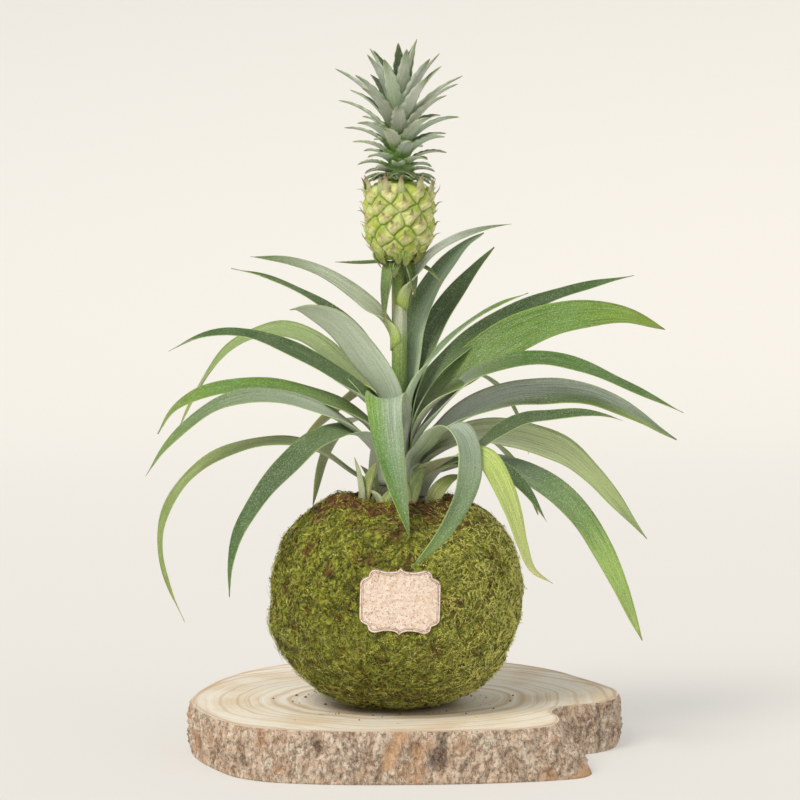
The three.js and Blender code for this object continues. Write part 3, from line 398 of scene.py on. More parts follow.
def strand(name, dark, light, sun=0.9):
    """A moss or coir strand: its colour drifts over the ball and along each strand, with painted sunlight on
    the ball's right side and painted shade in dark patches between clumps.
    """
    thin = Finish(name)
    x = thin.part(thin.here(), 0)
    right, left = x.between(-0.02, 0.07), x.between(0.05, -0.04, 0.3, 1.0)
    drift = thin.noise(70.0) * 0.4 + thin.noise(620.0, detail=1.0) * 0.6
    tone = thin.coated(thin.ramp(drift, (0.36, *dark), (0.64, *light)),
                       # painted sunlight: strands on the ball's right side are lifted towards a pale
                       # yellow-green
                       ((252, 250, 150), right * sun),
                       # painted shade: dark patches between the moss clumps, fewer on the sunlit right
                       ((40, 40, 8), thin.noise(170.0).between(0.5, 0.38, 0.0, 0.78) * (1 - right * 0.5)),
                       ((112, 68, 38), thin.noise(115.0).between(0.58, 0.65, 0.0, 0.85) * left))
    return thin.surface(Base_Color=tone, Roughness=0.75, Specular_IOR_Level=0.2)


def wood_face():
    """Pale end grain: growth rings round a pith near the ball, fine saw marks, a tan rim, and a painted brown
    contact shadow round the ball's foot.
    """
    wood = Finish("end_grain")
    at = wood.here()
    x, y = wood.part(at, 0) - 0.004, wood.part(at, 1) - 0.02
    wander = wood.noise(9.0, detail=2.0) * 0.03 + wood.noise(60.0) * 0.0026
    radius = (x * x * 0.84 + y * y) ** 0.5 + wander
    ring, fine = (wood.node("ShaderNodeTexNoise", {"noise_dimensions": "1D"}, W=radius * scale, Scale=1.0,
                            Detail=detail) for scale, detail in ((150, 3.0), (800, 1.0)))
    cloud, grain = wood.noise(22.0, detail=4.0), wood.noise(700.0, detail=2.0)
    saw = wood.noise(1.0, wood.stretched(at, (30, 800, 1)))
    tone = wood.coated((240, 232, 216),
                       ((230, 212, 184), cloud.between(0.42, 0.66)),
                       ((206, 174, 136), ring.between(0.52, 0.66, 0.0, 0.6)),
                       ((248, 245, 238), ring.between(0.46, 0.3, 0.0, 0.65)),
                       ((198, 166, 128), fine.between(0.56, 0.76, 0.0, 0.32)),
                       ((252, 248, 240), saw.between(0.5, 0.76, 0.0, 0.35)),
                       ((186, 150, 116), grain.between(0.56, 0.74, 0.0, 0.28)),
                       ((184, 138, 96), wood.attribute("rim")),
                       # painted contact shadow: brown round the foot of the ball, made patchy by the cloud
                       # noise
                       ((150, 104, 66), wood.attribute("stain") * cloud.between(0.2, 0.6, 0.5, 1.0)))
    wood.bump(saw * 0.5 + ring + grain * 0.3, 0.0005, 0.6)
    return wood.surface(Base_Color=tone, Roughness=cloud.between(0.2, 0.8, 0.6, 0.75))


def bark_skin():
    """Rough warm grey bark: dark cracks, pale flakes, and bare tan inner bark where it is broken."""
    bark = Finish("bark")
    at = bark.here()
    plates = bark.noise(150.0, bark.stretched(at, (1, 1, 0.6)), detail=6.0, roughness=0.72, distortion=0.5)
    flakes = bark.noise(520.0, detail=5.0, roughness=0.75)
    seams = bark.node("ShaderNodeTexVoronoi", {"feature": "DISTANCE_TO_EDGE"},
                      Vector=bark.stretched(at + bark.noise(90.0) * 0.02, (1, 1, 0.55)), Scale=120.0)
    cut = bark.noise(190.0, bark.stretched(at, (1, 1, 0.38)), detail=4.0, roughness=0.6) - 0.5
    fissure = (cut * cut).between(0.0007, 0.0001, 0.0, 0.5)
    grey = bark.ramp(plates, (0.3, 150, 118, 94), (0.42, 212, 182, 154), (0.53, 238, 214, 190),
                     (0.66, 252, 240, 220))
    patches = bark.noise(34.0, detail=4.0).between(0.55, 0.66, 0.0, 0.62)
    bare = bark.coated((208, 160, 116), ((234, 200, 160), flakes.between(0.35, 0.65)))
    tone = bark.coated(grey,
                       ((236, 222, 202), flakes.between(0.52, 0.7, 0.0, 0.6)),
                       ((96, 72, 54), flakes.between(0.46, 0.34, 0.0, 0.7)),
                       ((98, 76, 60), fissure),
                       ((70, 50, 36), seams.between(0.05, 0.0, 0.0, 0.3) + bark.attribute("crack") * 0.7),
                       ((206, 154, 108), patches * flakes.between(0.35, 0.6, 0.35, 1.0)),
                       (bare, bark.attribute("bare")))
    bark.bump(plates * 1.5 + flakes * 0.8 - fissure * 0.5, 0.0022)
    return bark.surface(Base_Color=tone, Roughness=0.9)


def cork_face():
    cork = Finish("pressed_cork")
    grains = cork.node("ShaderNodeTexVoronoi", None, Vector=cork.here(), Scale=520.0, out=1)
    speck = cork.noise(900.0, detail=2.0)
    tone = cork.coated((238, 220, 204),
                       ((222, 194, 172), cork.part(grains, 0).between(0.2, 1.0)),
                       ((150, 104, 76), speck.between(0.56, 0.66, 0.0, 0.8)),
                       ((246, 234, 220), cork.noise(120.0, detail=2.0).between(0.5, 0.75, 0.0, 0.4)))
    cork.bump(speck, 0.0003, 0.6)
    return cork.surface(Base_Color=tone, Roughness=0.8)


def plain(name, colour, other, scale, roughness, rise=0.0003):
    """A simple grown or printed surface with two tones."""
    made = Finish(name)
    cloud = made.noise(scale)
    made.bump(cloud, rise, 0.6)
    tone = made.coated(colour, (other, cloud.between(0.35, 0.7)))
    return made.surface(Base_Color=tone, Roughness=roughness)


LEAF_SIDES = [leaf_skin("leaf_upper_side", 0.38, 0.2, 0.45),
              leaf_skin("leaf_silver_underside", 0.5, 0.6, 0.24)]
INK = plain("border_line", (56, 34, 28), (92, 60, 46), 900, 0.7)
SOIL = plain("peat", (44, 28, 18), (92, 60, 38), 260, 0.95, 0.002)
THREAD = plain("green_thread", (56, 66, 24), (104, 112, 52), 300, 0.5)
STRAND_TONES = {
    "light": strand("moss_light", (186, 192, 60), (250, 248, 146)),
    "middle": strand("moss_middle", (136, 142, 36), (206, 208, 82)),
    "dark": strand("moss_dark", (32, 32, 8), (112, 110, 34), 0.4),
    "brown": strand("moss_brown", (58, 36, 18), (170, 118, 70), 0.0),
    "pale": strand("moss_pale", (150, 156, 70), (206, 206, 132)),
}


def ring_faces(low, high, steps, flip=False):
    """The faces between two rings of points, each ring given by the number of its first point."""
    faces = []
    for i in range(steps):
        j = (i + 1) % steps
        face = low + i, low + j, high + j, high + i
        faces.append((face[0], *face[:0:-1]) if flip else face)
    return faces


def wall_faces(rings, steps, flip=False, first=0):
    """The faces of a wall of rings of points that follow one another."""
    return [face for low in range(first, first + (rings - 1) * steps, steps)
            for face in ring_faces(low, low + steps, steps, flip)]


def closed_faces(rings, steps, flip=False, first=0):
    """A wall of rings with one flat face over each end."""
    start, end = (tuple(range(low, low + steps)) for low in (first, first + (rings - 1) * steps))
    return wall_faces(rings, steps, flip, first) + ([start, end[::-1]] if flip else [start[::-1], end])


def link(name, mesh):
    made = bpy.data.objects.new(name, mesh)
    bpy.context.scene.collection.objects.link(made)
    return made


def add(name, points, faces, materials=(), kinds=None, flat=None, uv=None, **fields):
    """An object from millimetre points. kinds is each face's material, flat the faces with sharp edges."""
    mesh = bpy.data.meshes.new(name)
    mesh.from_pydata((np.asarray(points, float) * MM).tolist(), [], faces)
    for material in materials:
        mesh.materials.append(material)
    smooth = np.ones(len(mesh.polygons), bool) if flat is None else ~np.asarray(flat, bool)
    mesh.polygons.foreach_set("use_smooth", smooth)
    if kinds is not None:
        mesh.polygons.foreach_set("material_index", np.asarray(kinds, np.int32))
    for field, values in fields.items():
        values = np.asarray(values, float)
        kind, key = ("FLOAT", "value") if values.ndim == 1 else ("FLOAT_COLOR", "color")
        mesh.attributes.new(field, kind, "POINT").data.foreach_set(key, values.ravel())
    if uv is not None:
        corners = np.zeros(len(mesh.loops), np.int32)
        mesh.loops.foreach_get("vertex_index", corners)
        mesh.uv_layers.new(name="UVMap").data.foreach_set("uv", np.asarray(uv, float)[corners].ravel())
    mesh.update()
    return link(name, mesh)


def settle(piece, slot, *nodes):
    """Puts a piece on the body and in the place of the CAD nodes it stands for; slot is not used."""
    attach(piece, "root")
    if nodes:
        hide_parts(*nodes)
    return piece


def curve_points(points, per_step=24):
    """A smooth curve through points, spaced by their distances, as the source's centripetal curve is."""
    p = np.asarray(points, float)
    p = np.vstack([2 * p[0] - p[1], p, 2 * p[-1] - p[-2]])
    out = []
    for a, b, c, d in zip(p, p[1:], p[2:], p[3:]):
        t0, t1, t2 = (np.linalg.norm(v) ** 0.5 for v in (b - a, c - b, d - c))
        m1 = ((b - a) / t0 - (c - a) / (t0 + t1) + (c - b) / t1) * t1
        m2 = ((c - b) / t1 - (d - b) / (t1 + t2) + (d - c) / t2) * t1
        t = np.linspace(0, 1, per_step, endpoint=False)[:, None]
        out.append(b + m1 * t + (-3 * b + 3 * c - 2 * m1 - m2) * t**2 + (2 * b - 2 * c + m1 + m2) * t**3)
    return np.vstack([*out, p[-2]])


def unit(vectors):
    return vectors / np.linalg.norm(vectors, axis=1)[:, None]


def evenly(points, count):
    """count points at equal distances along a path, with its directions and its length."""
    far = np.concatenate([[0], np.cumsum(np.linalg.norm(np.diff(points, axis=0), axis=1))])
    at = np.linspace(0, far[-1], count)
    path = np.stack([np.interp(at, far, points[:, n]) for n in range(3)], axis=1)
    return path, unit(np.gradient(path, axis=0)), far[-1]


def outward(heading):
    return np.array([cos(radians(heading)), sin(radians(heading)), 0])


def tangential(heading):
    return np.array([-sin(radians(heading)), cos(radians(heading)), 0])


def polar(reach, heading, z):
    return (STEM["x"] + reach * cos(radians(heading)), reach * sin(radians(heading)), z)


class Blades:
    """Collects leaf blades and stems into one mesh, with the colour of each point."""

    def __init__(self):
        self.points, self.faces, self.kinds, self.flat, self.uv, self.tone = [], [], [], [], [], []
        self.count = 0

    def take(self, rings, faces, kinds, flat, u, v, tone):
        self.points.append(rings.reshape(-1, 3))
        self.uv.append(np.stack(np.broadcast_arrays(u[None], v[:, None]), -1).reshape(-1, 2))
        self.tone.append(tone.reshape(-1, 4))
        self.faces += faces
        self.kinds += kinds
        self.flat += flat
        self.count += rings.shape[0] * rings.shape[1]

    def blade(self, path, heading, width, fold, roll, look, turn=0, stations=20, columns=5, thick=1.0,
              edge=0.4, wave=0.0, teeth=0, seed=0, dry=0.05, tint=1.0):
        """One blade along a path. width, fold and roll may follow the share of its length."""
        centre, along, length = evenly(path, stations)
        s = np.linspace(0, 1, stations)
        width, fold, roll = (np.array([value(k) if callable(value) else value for k in s], float)
                             for value in (width, fold, roll))
        across = np.array([tangential(heading + turn * k * k) for k in s])
        across = unit(across - along * np.sum(across * along, axis=1)[:, None])
        inner = np.cross(along, across)
        roll = np.radians(roll)[:, None]
        across, inner = (across * np.cos(roll) + inner * np.sin(roll),
                         inner * np.cos(roll) - across * np.sin(roll))
        half = width / 2
        if teeth:
            half = half * (1 + TOOTH * np.sign(np.sin(s * teeth * pi)) * (s > 0.2) * (s < 0.93))
        bend = np.maximum(np.radians(fold) / 2, FLATTEST)
        u = np.linspace(-1, 1, columns)
        radius = half / bend
        deep = (thick + (edge - thick) * u**2) / 2
        slim = np.clip(half / (thick * 1.6), 0.25, 1)[:, None]
        ripple = wave * np.sin(s * length / 9 + seed)[:, None] * u**3 + wave * 0.5 * np.sin(
            s * length / 23 + seed * 2)[:, None] * u**2

        def face(sign):
            lift = sign * deep[None, :] * slim
            out = (radius[:, None] - lift) * np.sin(u * bend[:, None])
            up = radius[:, None] - (radius[:, None] - lift) * np.cos(u * bend[:, None]) + ripple
            return centre[:, None] + across[:, None] * out[..., None] + inner[:, None] * up[..., None]

        sides = 2 * columns
        ends = [(a + i, a + i + 1, a + sides - 2 - i, a + sides - 1 - i)[::order]
                for a, order in ((self.count, 1), (self.count + (stations - 1) * sides, -1))
                for i in range(columns - 1)]
        kinds = [int(columns - 1 <= i < sides - 1) for i in range(sides)] * (stations - 1)
        flat = [i in (columns - 1, sides - 1) for i in range(sides)] * (stations - 1)
        share = (u + 1) / 2
        self.take(np.concatenate([face(1), face(-1)[:, ::-1]], axis=1),
                  wall_faces(stations, sides, True, self.count) + ends, kinds + [0] * len(ends),
                  flat + [True] * len(ends), np.concatenate([share, share[::-1]]), s * length / 100 + seed,
                  self.colours(look, s, share, seed, dry, tint))

    def colours(self, look, s, share, seed, dry, tint):
        """The tone of each point: along the blade by its look, a little off for each blade, its tip dry, and
        times tint, which brings the painted shade at the foot of the rosette leaves.
        """
        shift = 1 + np.random.default_rng(int(seed * 1000) + 5).uniform(-0.07, 0.07, 3)
        sheets = [(colours_at(s, stops)[:, :3] * shift * tint)[:, None] for stops in LEAF_LOOKS[look]]
        near, under, far = sheets if len(sheets) > 2 else (*sheets, sheets[0])
        top = near + (far - near) * smoothstep(0.15, 0.72, share)[None, :, None]
        rows = np.concatenate([top, np.repeat(under, len(share), axis=1)], axis=1)
        end = smoothstep(1 - dry, 1, s)[:, None, None] * 0.85
        rows = rows * (1 - end) + np.array(rgb(*DRY_TIP)[:3]) * end
        return np.concatenate([rows, np.ones(rows.shape[:2] + (1,))], -1)

    def tube(self, path, radii, colours, sides=12):
        """A round stem along a path, closed at its ends, with a colour for each station."""
        path = np.asarray(path, float)
        along = unit(np.gradient(path, axis=0))
        across = unit(np.cross(along, (0, 1, 0)))
        other = np.cross(along, across)
        turn = np.arange(sides) * 2 * pi / sides
        ring = across[:, None] * np.cos(turn)[None, :, None] + other[:, None] * np.sin(turn)[None, :, None]
        rows = len(path)
        faces = closed_faces(rows, sides, first=self.count)
        self.take(path[:, None] + ring * np.asarray(radii, float)[:, None, None], faces, [0] * len(faces),
                  [False] * (len(faces) - 2) + [True] * 2, turn / 6.3, np.linspace(0, 1.5, rows),
                  np.asarray(colours, float)[:, None].repeat(sides, axis=1))

    def finish(self, name, *nodes, slot="leaf"):
        made = add(name, np.vstack(self.points), self.faces, LEAF_SIDES, self.kinds, self.flat,
                   np.vstack(self.uv), tone=np.vstack(self.tone))
        settle(made, slot, *nodes)


def plate_height(r):
    """The height of the short trunk's cone at a distance from its axis."""
    foot = SOIL_CROWN + GAP
    return STEM["plate_top"] - (r - STEM["stalk"]) * (STEM["plate_top"] - foot - 1.2) / (
        STEM["plate"] - STEM["stalk"])


def strap_leaf(name, look, heading, turn, width, fold, roll, taper, path, radius, sheath, foot, top, seed,
               on_stalk=False):
    """One long leaf: a sheath that clasps the stem from foot to top, then the blade along its path."""
    rows = [(radius, foot), (radius, foot + (top - foot) * 0.6), (radius + 0.6, top), *path]
    last = len(rows) - 1
    curve = curve_points([polar(r, heading + turn * (k / last) ** 2, z) for k, (r, z) in enumerate(rows)])
    clasp = (top - foot) / np.linalg.norm(np.diff(curve, axis=0), axis=1).sum()
    wrap = np.degrees(sheath / radius)
    rolled_by = 0.3 if on_stalk else 0.55

    def breadth(s):
        spread = smoothstep(clasp * 0.5, clasp + 0.14, s)
        broad = width * (1 + SHEATH["flare"] * (1 - smoothstep(0.1, 0.5, s)))
        foot_share = 0.15 + 0.85 * smoothstep(0, clasp * 0.7, s) ** 0.5 if on_stalk else 1
        return max((sheath + (broad - sheath) * spread) * (1 - s**taper) * foot_share, 0.5)

    from_foot = np.linspace(0, 1, STRAP_STATIONS)[:, None]
    # Rosette leaves are darkened towards their foot: a painted shade of the crowded heart of the plant
    painted_base_shade = 1 if on_stalk else 0.62 + 0.38 * smoothstep(0.03, 0.2, from_foot)
    leaf = Blades()
    leaf.blade(curve, heading, breadth, lambda s: wrap + (fold - wrap) * smoothstep(clasp, clasp + 0.25, s),
               lambda s: roll * smoothstep(clasp, rolled_by, s), look, turn=turn, stations=STRAP_STATIONS,
               columns=9, thick=1.1, edge=0.5, wave=0.45 if width > 12 else 0.2, seed=seed, dry=0.03,
               tint=painted_base_shade)
    leaf.finish(name + "_blade", name)


for n, (name, look, ring, heading, turn, width, fold, roll, taper, path) in enumerate(LEAVES):
    radius = SHEATH["first"] + ring * SHEATH["pitch"]
    foot = plate_height(radius - 0.65) + GAP
    top = max(SHEATH["top"] - ring * SHEATH["step"], foot + 4)
    sheath = min(width, 2 * pi * radius * SHEATH["share"])
    strap_leaf(name, look, heading, turn, width, fold, roll, taper, path, radius, sheath, foot, top, n + 1)
for n, (*form, foot, top, path) in enumerate(STALK_LEAVES):
    strap_leaf(*form, path, STEM["stalk"] + 0.5, 21, foot, top, n + 61, True)


def side_shoot(name, at, blades, seed):
    """A young shoot: a pale round foot in the soil and short pointed blades."""
    made = Blades()
    rows = 6
    made.tube([(*at, z) for z in np.linspace(178, SOIL_CROWN, rows)], np.linspace(3.2, 2.4, rows),
              [rgb(150, 140, 96)] * rows)
    for n, (heading, length, lean, width) in enumerate(blades):
        points, wide = [], width * 1.2
        for share, bend in ((0, 0), (0.4, 0.6), (0.75, 0.9), (1, 1.15)):
            far, slope = length * share, radians(lean * bend)
            points.append(np.array([*at, SOIL_CROWN - 4]) + outward(heading) * (0.5 + far * sin(slope))
                          + np.array([0, 0, far * cos(slope)]))
        made.blade(curve_points(points), heading,
                   lambda s: max(min(5 + 2.2 * wide * s, wide * (0.8 + 0.6 * s)) * (1 - s * s), 0.5), 66, 60,
                   "shoot", thick=1.1, edge=0.5, seed=seed + n, dry=0.08)
    made.finish(name + "_blades", name)


for n, (name, at, blades) in enumerate(SHOOTS):
    side_shoot(name, at, blades, 80 + 3 * n)


def flower_stalk():
    """The stalk with its pale nodes and mealy bloom, the cone of sheaths below, and the fruit's bracts."""
    made = Blades()
    z = np.concatenate([[161, SOIL_CROWN + GAP, SOIL_CROWN + 1.5],
                        np.linspace(STEM["plate_top"], STEM["top"], 60)])
    share = np.clip((z - STEM["plate_top"]) / (STEM["top"] - STEM["plate_top"]), 0, 1)
    radii = 5.75 + 0.35 * np.exp(-((share - 0.64) / 0.02) ** 2) + 0.3 * np.exp(-((share - 0.3) / 0.03) ** 2)
    radii[:3] = 10, STEM["plate"], STEM["plate"] - 1
    made.tube([(STEM["x"], 0, h) for h in z], radii, colours_at(share, STALK_TONES), sides=24)
    for n, (heading, length, droop, width) in enumerate(UNDER_FRUIT):
        spread, wide = max(length - droop, 9), width * 1.2
        rows = [(3, -1), (8, 1.5), (8 + spread * 0.45, 1 - droop * 0.3), (8 + spread * 0.8, -droop)]
        made.blade(curve_points([polar(r, heading, STEM["top"] - 3.2 + lift) for r, lift in rows]), heading,
                   lambda s: max(wide * (1 - s**2.4), 0.5), 60, lambda s: 50 * s**0.5 if width < 5 else 0,
                   "bract", edge=0.5, seed=30 + n, dry=0.25)
    made.finish("flower_stalk", "stem", slot="stalk")


def fruit_radius(v):
    """The fruit's radius under its eyes, at a share of its height."""
    wide = FRUIT["widest"]
    narrow = np.where(v < wide, np.abs((wide - v) / wide) ** 2.7, np.abs((v - wide) / (1 - wide)) ** 7)
    return FRUIT["radius"] * np.sqrt(np.maximum(1 - 0.86 * narrow, 0.03))


def fruit_eyes():
    """Each eye's share of the height and turn, a little off a regular spiral, and a number of its own."""
    draw = np.random.default_rng(17)
    eyes = []
    for row in range(FRUIT["levels"] + 1):
        for n in range(FRUIT["eyes"]):
            height = row / FRUIT["levels"] + draw.uniform(-0.022, 0.022)
            turn = (n + (row % 2) * 0.5 + FRUIT["skew"] * row * 0.5) / FRUIT["eyes"]
            eyes.append((height, turn + draw.uniform(-0.018, 0.018), draw.random()))
    return np.array(eyes)


def fruit_place(v, turn, lift=0.0):
    angle = 2 * pi * np.asarray(turn)
    r = fruit_radius(np.asarray(v)) + lift
    z = STEM["top"] + GAP + np.asarray(v) * FRUIT["length"]
    return np.stack(np.broadcast_arrays(STEM["x"] + r * np.cos(angle), r * np.sin(angle), z), -1)


def fruit_body():
    """The fruit: rounded eyes with green seams between them, each with a pale bract on its lower half."""
    steps, rows = 270, 146
    turns, heights = np.meshgrid(np.arange(steps) / steps, np.linspace(0, 1, rows))
    eyes = fruit_eyes()
    base = fruit_place(heights, turns).reshape(-1, 3)
    wobble = 1.1 * np.array([[noise.noise(Vector(p * 0.16 + shift)) for shift in (0, 40, 80)] for p in base])
    far = np.linalg.norm((base + wobble)[:, None] - fruit_place(eyes[:, 0], eyes[:, 1])[None], axis=2)
    order = np.argsort(far, axis=1)[:, :2]
    first, second = (np.take_along_axis(far, order[:, n:n + 1], 1)[:, 0] for n in (0, 1))
    inside = (second - first).reshape(turns.shape)
    own = eyes[order[:, 0]].reshape(turns.shape + (3,))
    side = ((turns - own[..., 1] + 0.5) % 1 - 0.5) * FRUIT["eyes"]
    up = (heights - own[..., 0]) * FRUIT["levels"]
    pillow = smoothstep(0, 6.0, inside)
    flap = smoothstep(0.1, -0.06, up + np.abs(side) * 1.5 - 0.1) * smoothstep(0.3, 2.2, inside)
    peak = np.exp(-((side / 0.13) ** 2 + ((up - 0.02) / 0.2) ** 2))
    creases = np.sin(side * 46 + own[..., 2] * 20)
    rise = FRUIT["rise"] * (pillow * 0.85 + 0.3 * flap) + 1.0 * peak * smoothstep(1, 4, inside)
    rise += 0.1 * creases * smoothstep(0.5, 3, inside)
    tone, body, pale, green, brown = (np.array(rgb(*c)) for c in (
        (100, 132, 34), (178, 192, 80), (240, 234, 172), (122, 156, 46), (158, 96, 62)))
    for other, amount in ((body, smoothstep(0.1, 1.5, inside)),
                          (green, 0.55 * smoothstep(0.12, 0.7, up) * smoothstep(0.4, 3, inside)),
                          (pale, flap * (0.55 + 0.35 * own[..., 2])),
                          (pale, 0.5 * pillow * smoothstep(0.45, 0.8, own[..., 2])),
                          (green, 0.22 * (0.5 + 0.5 * creases) * flap),
                          (brown, peak * (0.25 + 0.5 * own[..., 2]))):
        tone = tone + (other - tone) * amount[..., None]
    points = fruit_place(heights, turns, rise - 0.6 * smoothstep(1.2, 0, inside))
    rind = add("fruit_rind", points.reshape(-1, 3), closed_faces(rows, steps), [fruit_rind()],
               tone=tone.reshape(-1, 4))
    settle(rind, "fruit", "fruit")


def eye_bracts():
    """The dry pointed tips that curl out of the fruit's eyes, and the pointed flaps at its top and foot."""
    draw = np.random.default_rng(11)
    made = Blades()
    bottom = STEM["top"] + GAP
    top = bottom + FRUIT["length"]
    for n, (v, turn, kind) in enumerate(fruit_eyes()):
        if not 0.04 < v < 1.03:
            continue
        base, heading, z = float(fruit_radius(v)), 360 * turn, bottom + v * FRUIT["length"]
        size, swing = 4.2 + 4.2 * kind, draw.uniform(-34, 34)
        rows = [(base + 0.8, z - 1.8), (base + 2.8, z - 0.2),
                (base + 3.1 + size * 0.3, z + 1.2 + size * 0.2),
                (base + 2.6 + size * draw.uniform(0.5, 1.0), z + size * draw.uniform(0.3, 1.0))]
        points = [polar(a, heading + swing * k * 0.1, h) for k, (a, h) in enumerate(rows)]
        made.blade(curve_points(points), heading, lambda s: max(4.4 * (1 - s) ** 0.9, 0.3), 70,
                   lambda s: swing * s, "scale", stations=9, columns=3, thick=0.6, seed=200 + n, dry=0.3)
    above, below = 14, 11
    for n in range(above + below):
        if n < above:
            heading, long = n * 360 / above + draw.uniform(-12, 12), draw.uniform(0.3, 1.25)
            rows = [(22, top - 13), (25.6, top - 8), (26.3, top - 3 + long),
                    (25 + 4 * long, top - 1 + 5 * long)]
        else:
            heading, long = n * 360 / below + draw.uniform(-12, 12), draw.uniform(0.35, 1.1)
            rows = [(18, bottom + 7), (18.5, bottom + 3), (15 + long, bottom - 1.5 * long),
                    (12 + long, bottom - 6 * long)]
        swing = draw.uniform(-40, 40)
        made.blade(curve_points([polar(a, heading, h) for a, h in rows]), heading,
                   lambda s: max(10.5 * (1 - s) ** 0.8, 0.3), 60, lambda s: swing * s, "flap", stations=12,
                   thick=0.7, seed=260 + n, dry=0.1)
    made.finish("fruit_bract_tips", slot="fruit")


def crown():
    """The crown: spiralling toothed leaves, short and bent down below, long and upright above."""
    draw = np.random.default_rng(3)
    bottom, height, core = STEM["top"] + FRUIT["length"] + 2 * GAP, CROWN["height"], CROWN["core"]
    made, form = Blades(), np.transpose(CROWN_FORM)
    heights = np.linspace(0, height, 16)
    made.tube([(STEM["x"], 0, bottom + h) for h in heights],
              np.interp(heights, [0, 4, 26, height], [9, core, core - 2.5, 3]),
              [rgb(120, 150, 70)] * len(heights))

    def leaf(heading, r, z, foot_angle, tip_angle, length, breadth, fold, swing, tint=1.0, **more):
        """One leaf whose slope goes from its foot's to its tip's."""
        path, steps = [(r, z)], 8
        for k in range(steps):
            slope = radians(foot_angle + (tip_angle - foot_angle) * (k + 0.5) / steps)
            r, z = r + length / steps * cos(slope), z + length / steps * sin(slope)
            path.append((r, z))
        made.blade(curve_points([polar(a, heading, h) for a, h in path], 6), heading, breadth, fold,
                   lambda s: swing * s, "crown", tint=tint, **more)

    for n in range(CROWN["fringe"]):
        second = n >= CROWN["fringe"] // 2
        heading = n * 720 / CROWN["fringe"] + draw.uniform(-9, 9) + 16 * second
        leaf(heading, 7.5, bottom - 1.2 + 2.2 * second, 40, -44 + draw.uniform(-8, 12),
             draw.uniform(17, 23), lambda s: max(12.5 * (0.9 + 0.5 * s) * (1 - s) ** 0.8, 0.4), 50,
             draw.uniform(-14, 14), stations=22, teeth=9, seed=380 + n)
    for n in range(CROWN["leaves"]):
        share = n / (CROWN["leaves"] - 1)
        length, slope, fall = (np.interp(share, form[0], row) for row in form[1:])
        heading = n * CROWN["turn"] + 20 + draw.uniform(-7, 7)
        slope += draw.uniform(-7, 7)
        wide = 12.5 + 5 * min(share * 2, 1)
        leaf(heading, core + (3 - core) * share - 2, bottom + 2 + (height - 5) * share, slope + fall / 2,
             slope - fall / 2 - 8, length * draw.uniform(0.92, 1.06),
             lambda s: max(wide * (0.85 + 0.6 * s) * (1 - s) ** 0.72, 0.4), 84, draw.uniform(-14, 14),
             0.88 + 0.24 * draw.random(), stations=30, teeth=15, seed=300 + n)
    made.finish("crown_leaves", "crown", slot="crown_leaf")


flower_stalk()
fruit_body()
eye_bracts()
crown()


def ball_half(upper):
    """How far the ball reaches from its centre on that half, and the power of its outline."""
    return (BALL["rise"], BALL["power"]) if upper else (BALL["drop"], BALL["low_power"])


def ball_radius(z):
    reach, power = ball_half(z > BALL["centre"])
    share = min(abs(z - BALL["centre"]) / reach, 1)
    return BALL["radius"] * (1 - share ** power) ** (1 / power)


def lump(turn, z):
    return (sin(3 * turn + z * 0.05) + sin(5 * turn - z * 0.09)) * 0.5 * BALL["lump"]


def label_plane(z):
    return LABEL["front"] + (z - LABEL["centre"]) * tan(radians(LABEL["tilt"]))


def label_cover(x, z, grow=0.0):
    """1 behind the label, fading to 0 just past its edge."""
    across, up = (1 - smoothstep(half - 1 + grow, half + 0.8 + grow, abs(off)) for half, off in (
        (LABEL["width"] / 2, x - LABEL["x"]), (LABEL["height"] / 2, z - LABEL["centre"])))
    return float(across * up)


def around(r, step, steps):
    return r * cos(2 * pi * step / steps), r * sin(2 * pi * step / steps)


def rough(place, octaves=3):
    return noise.fractal(place, 1, 2, octaves)


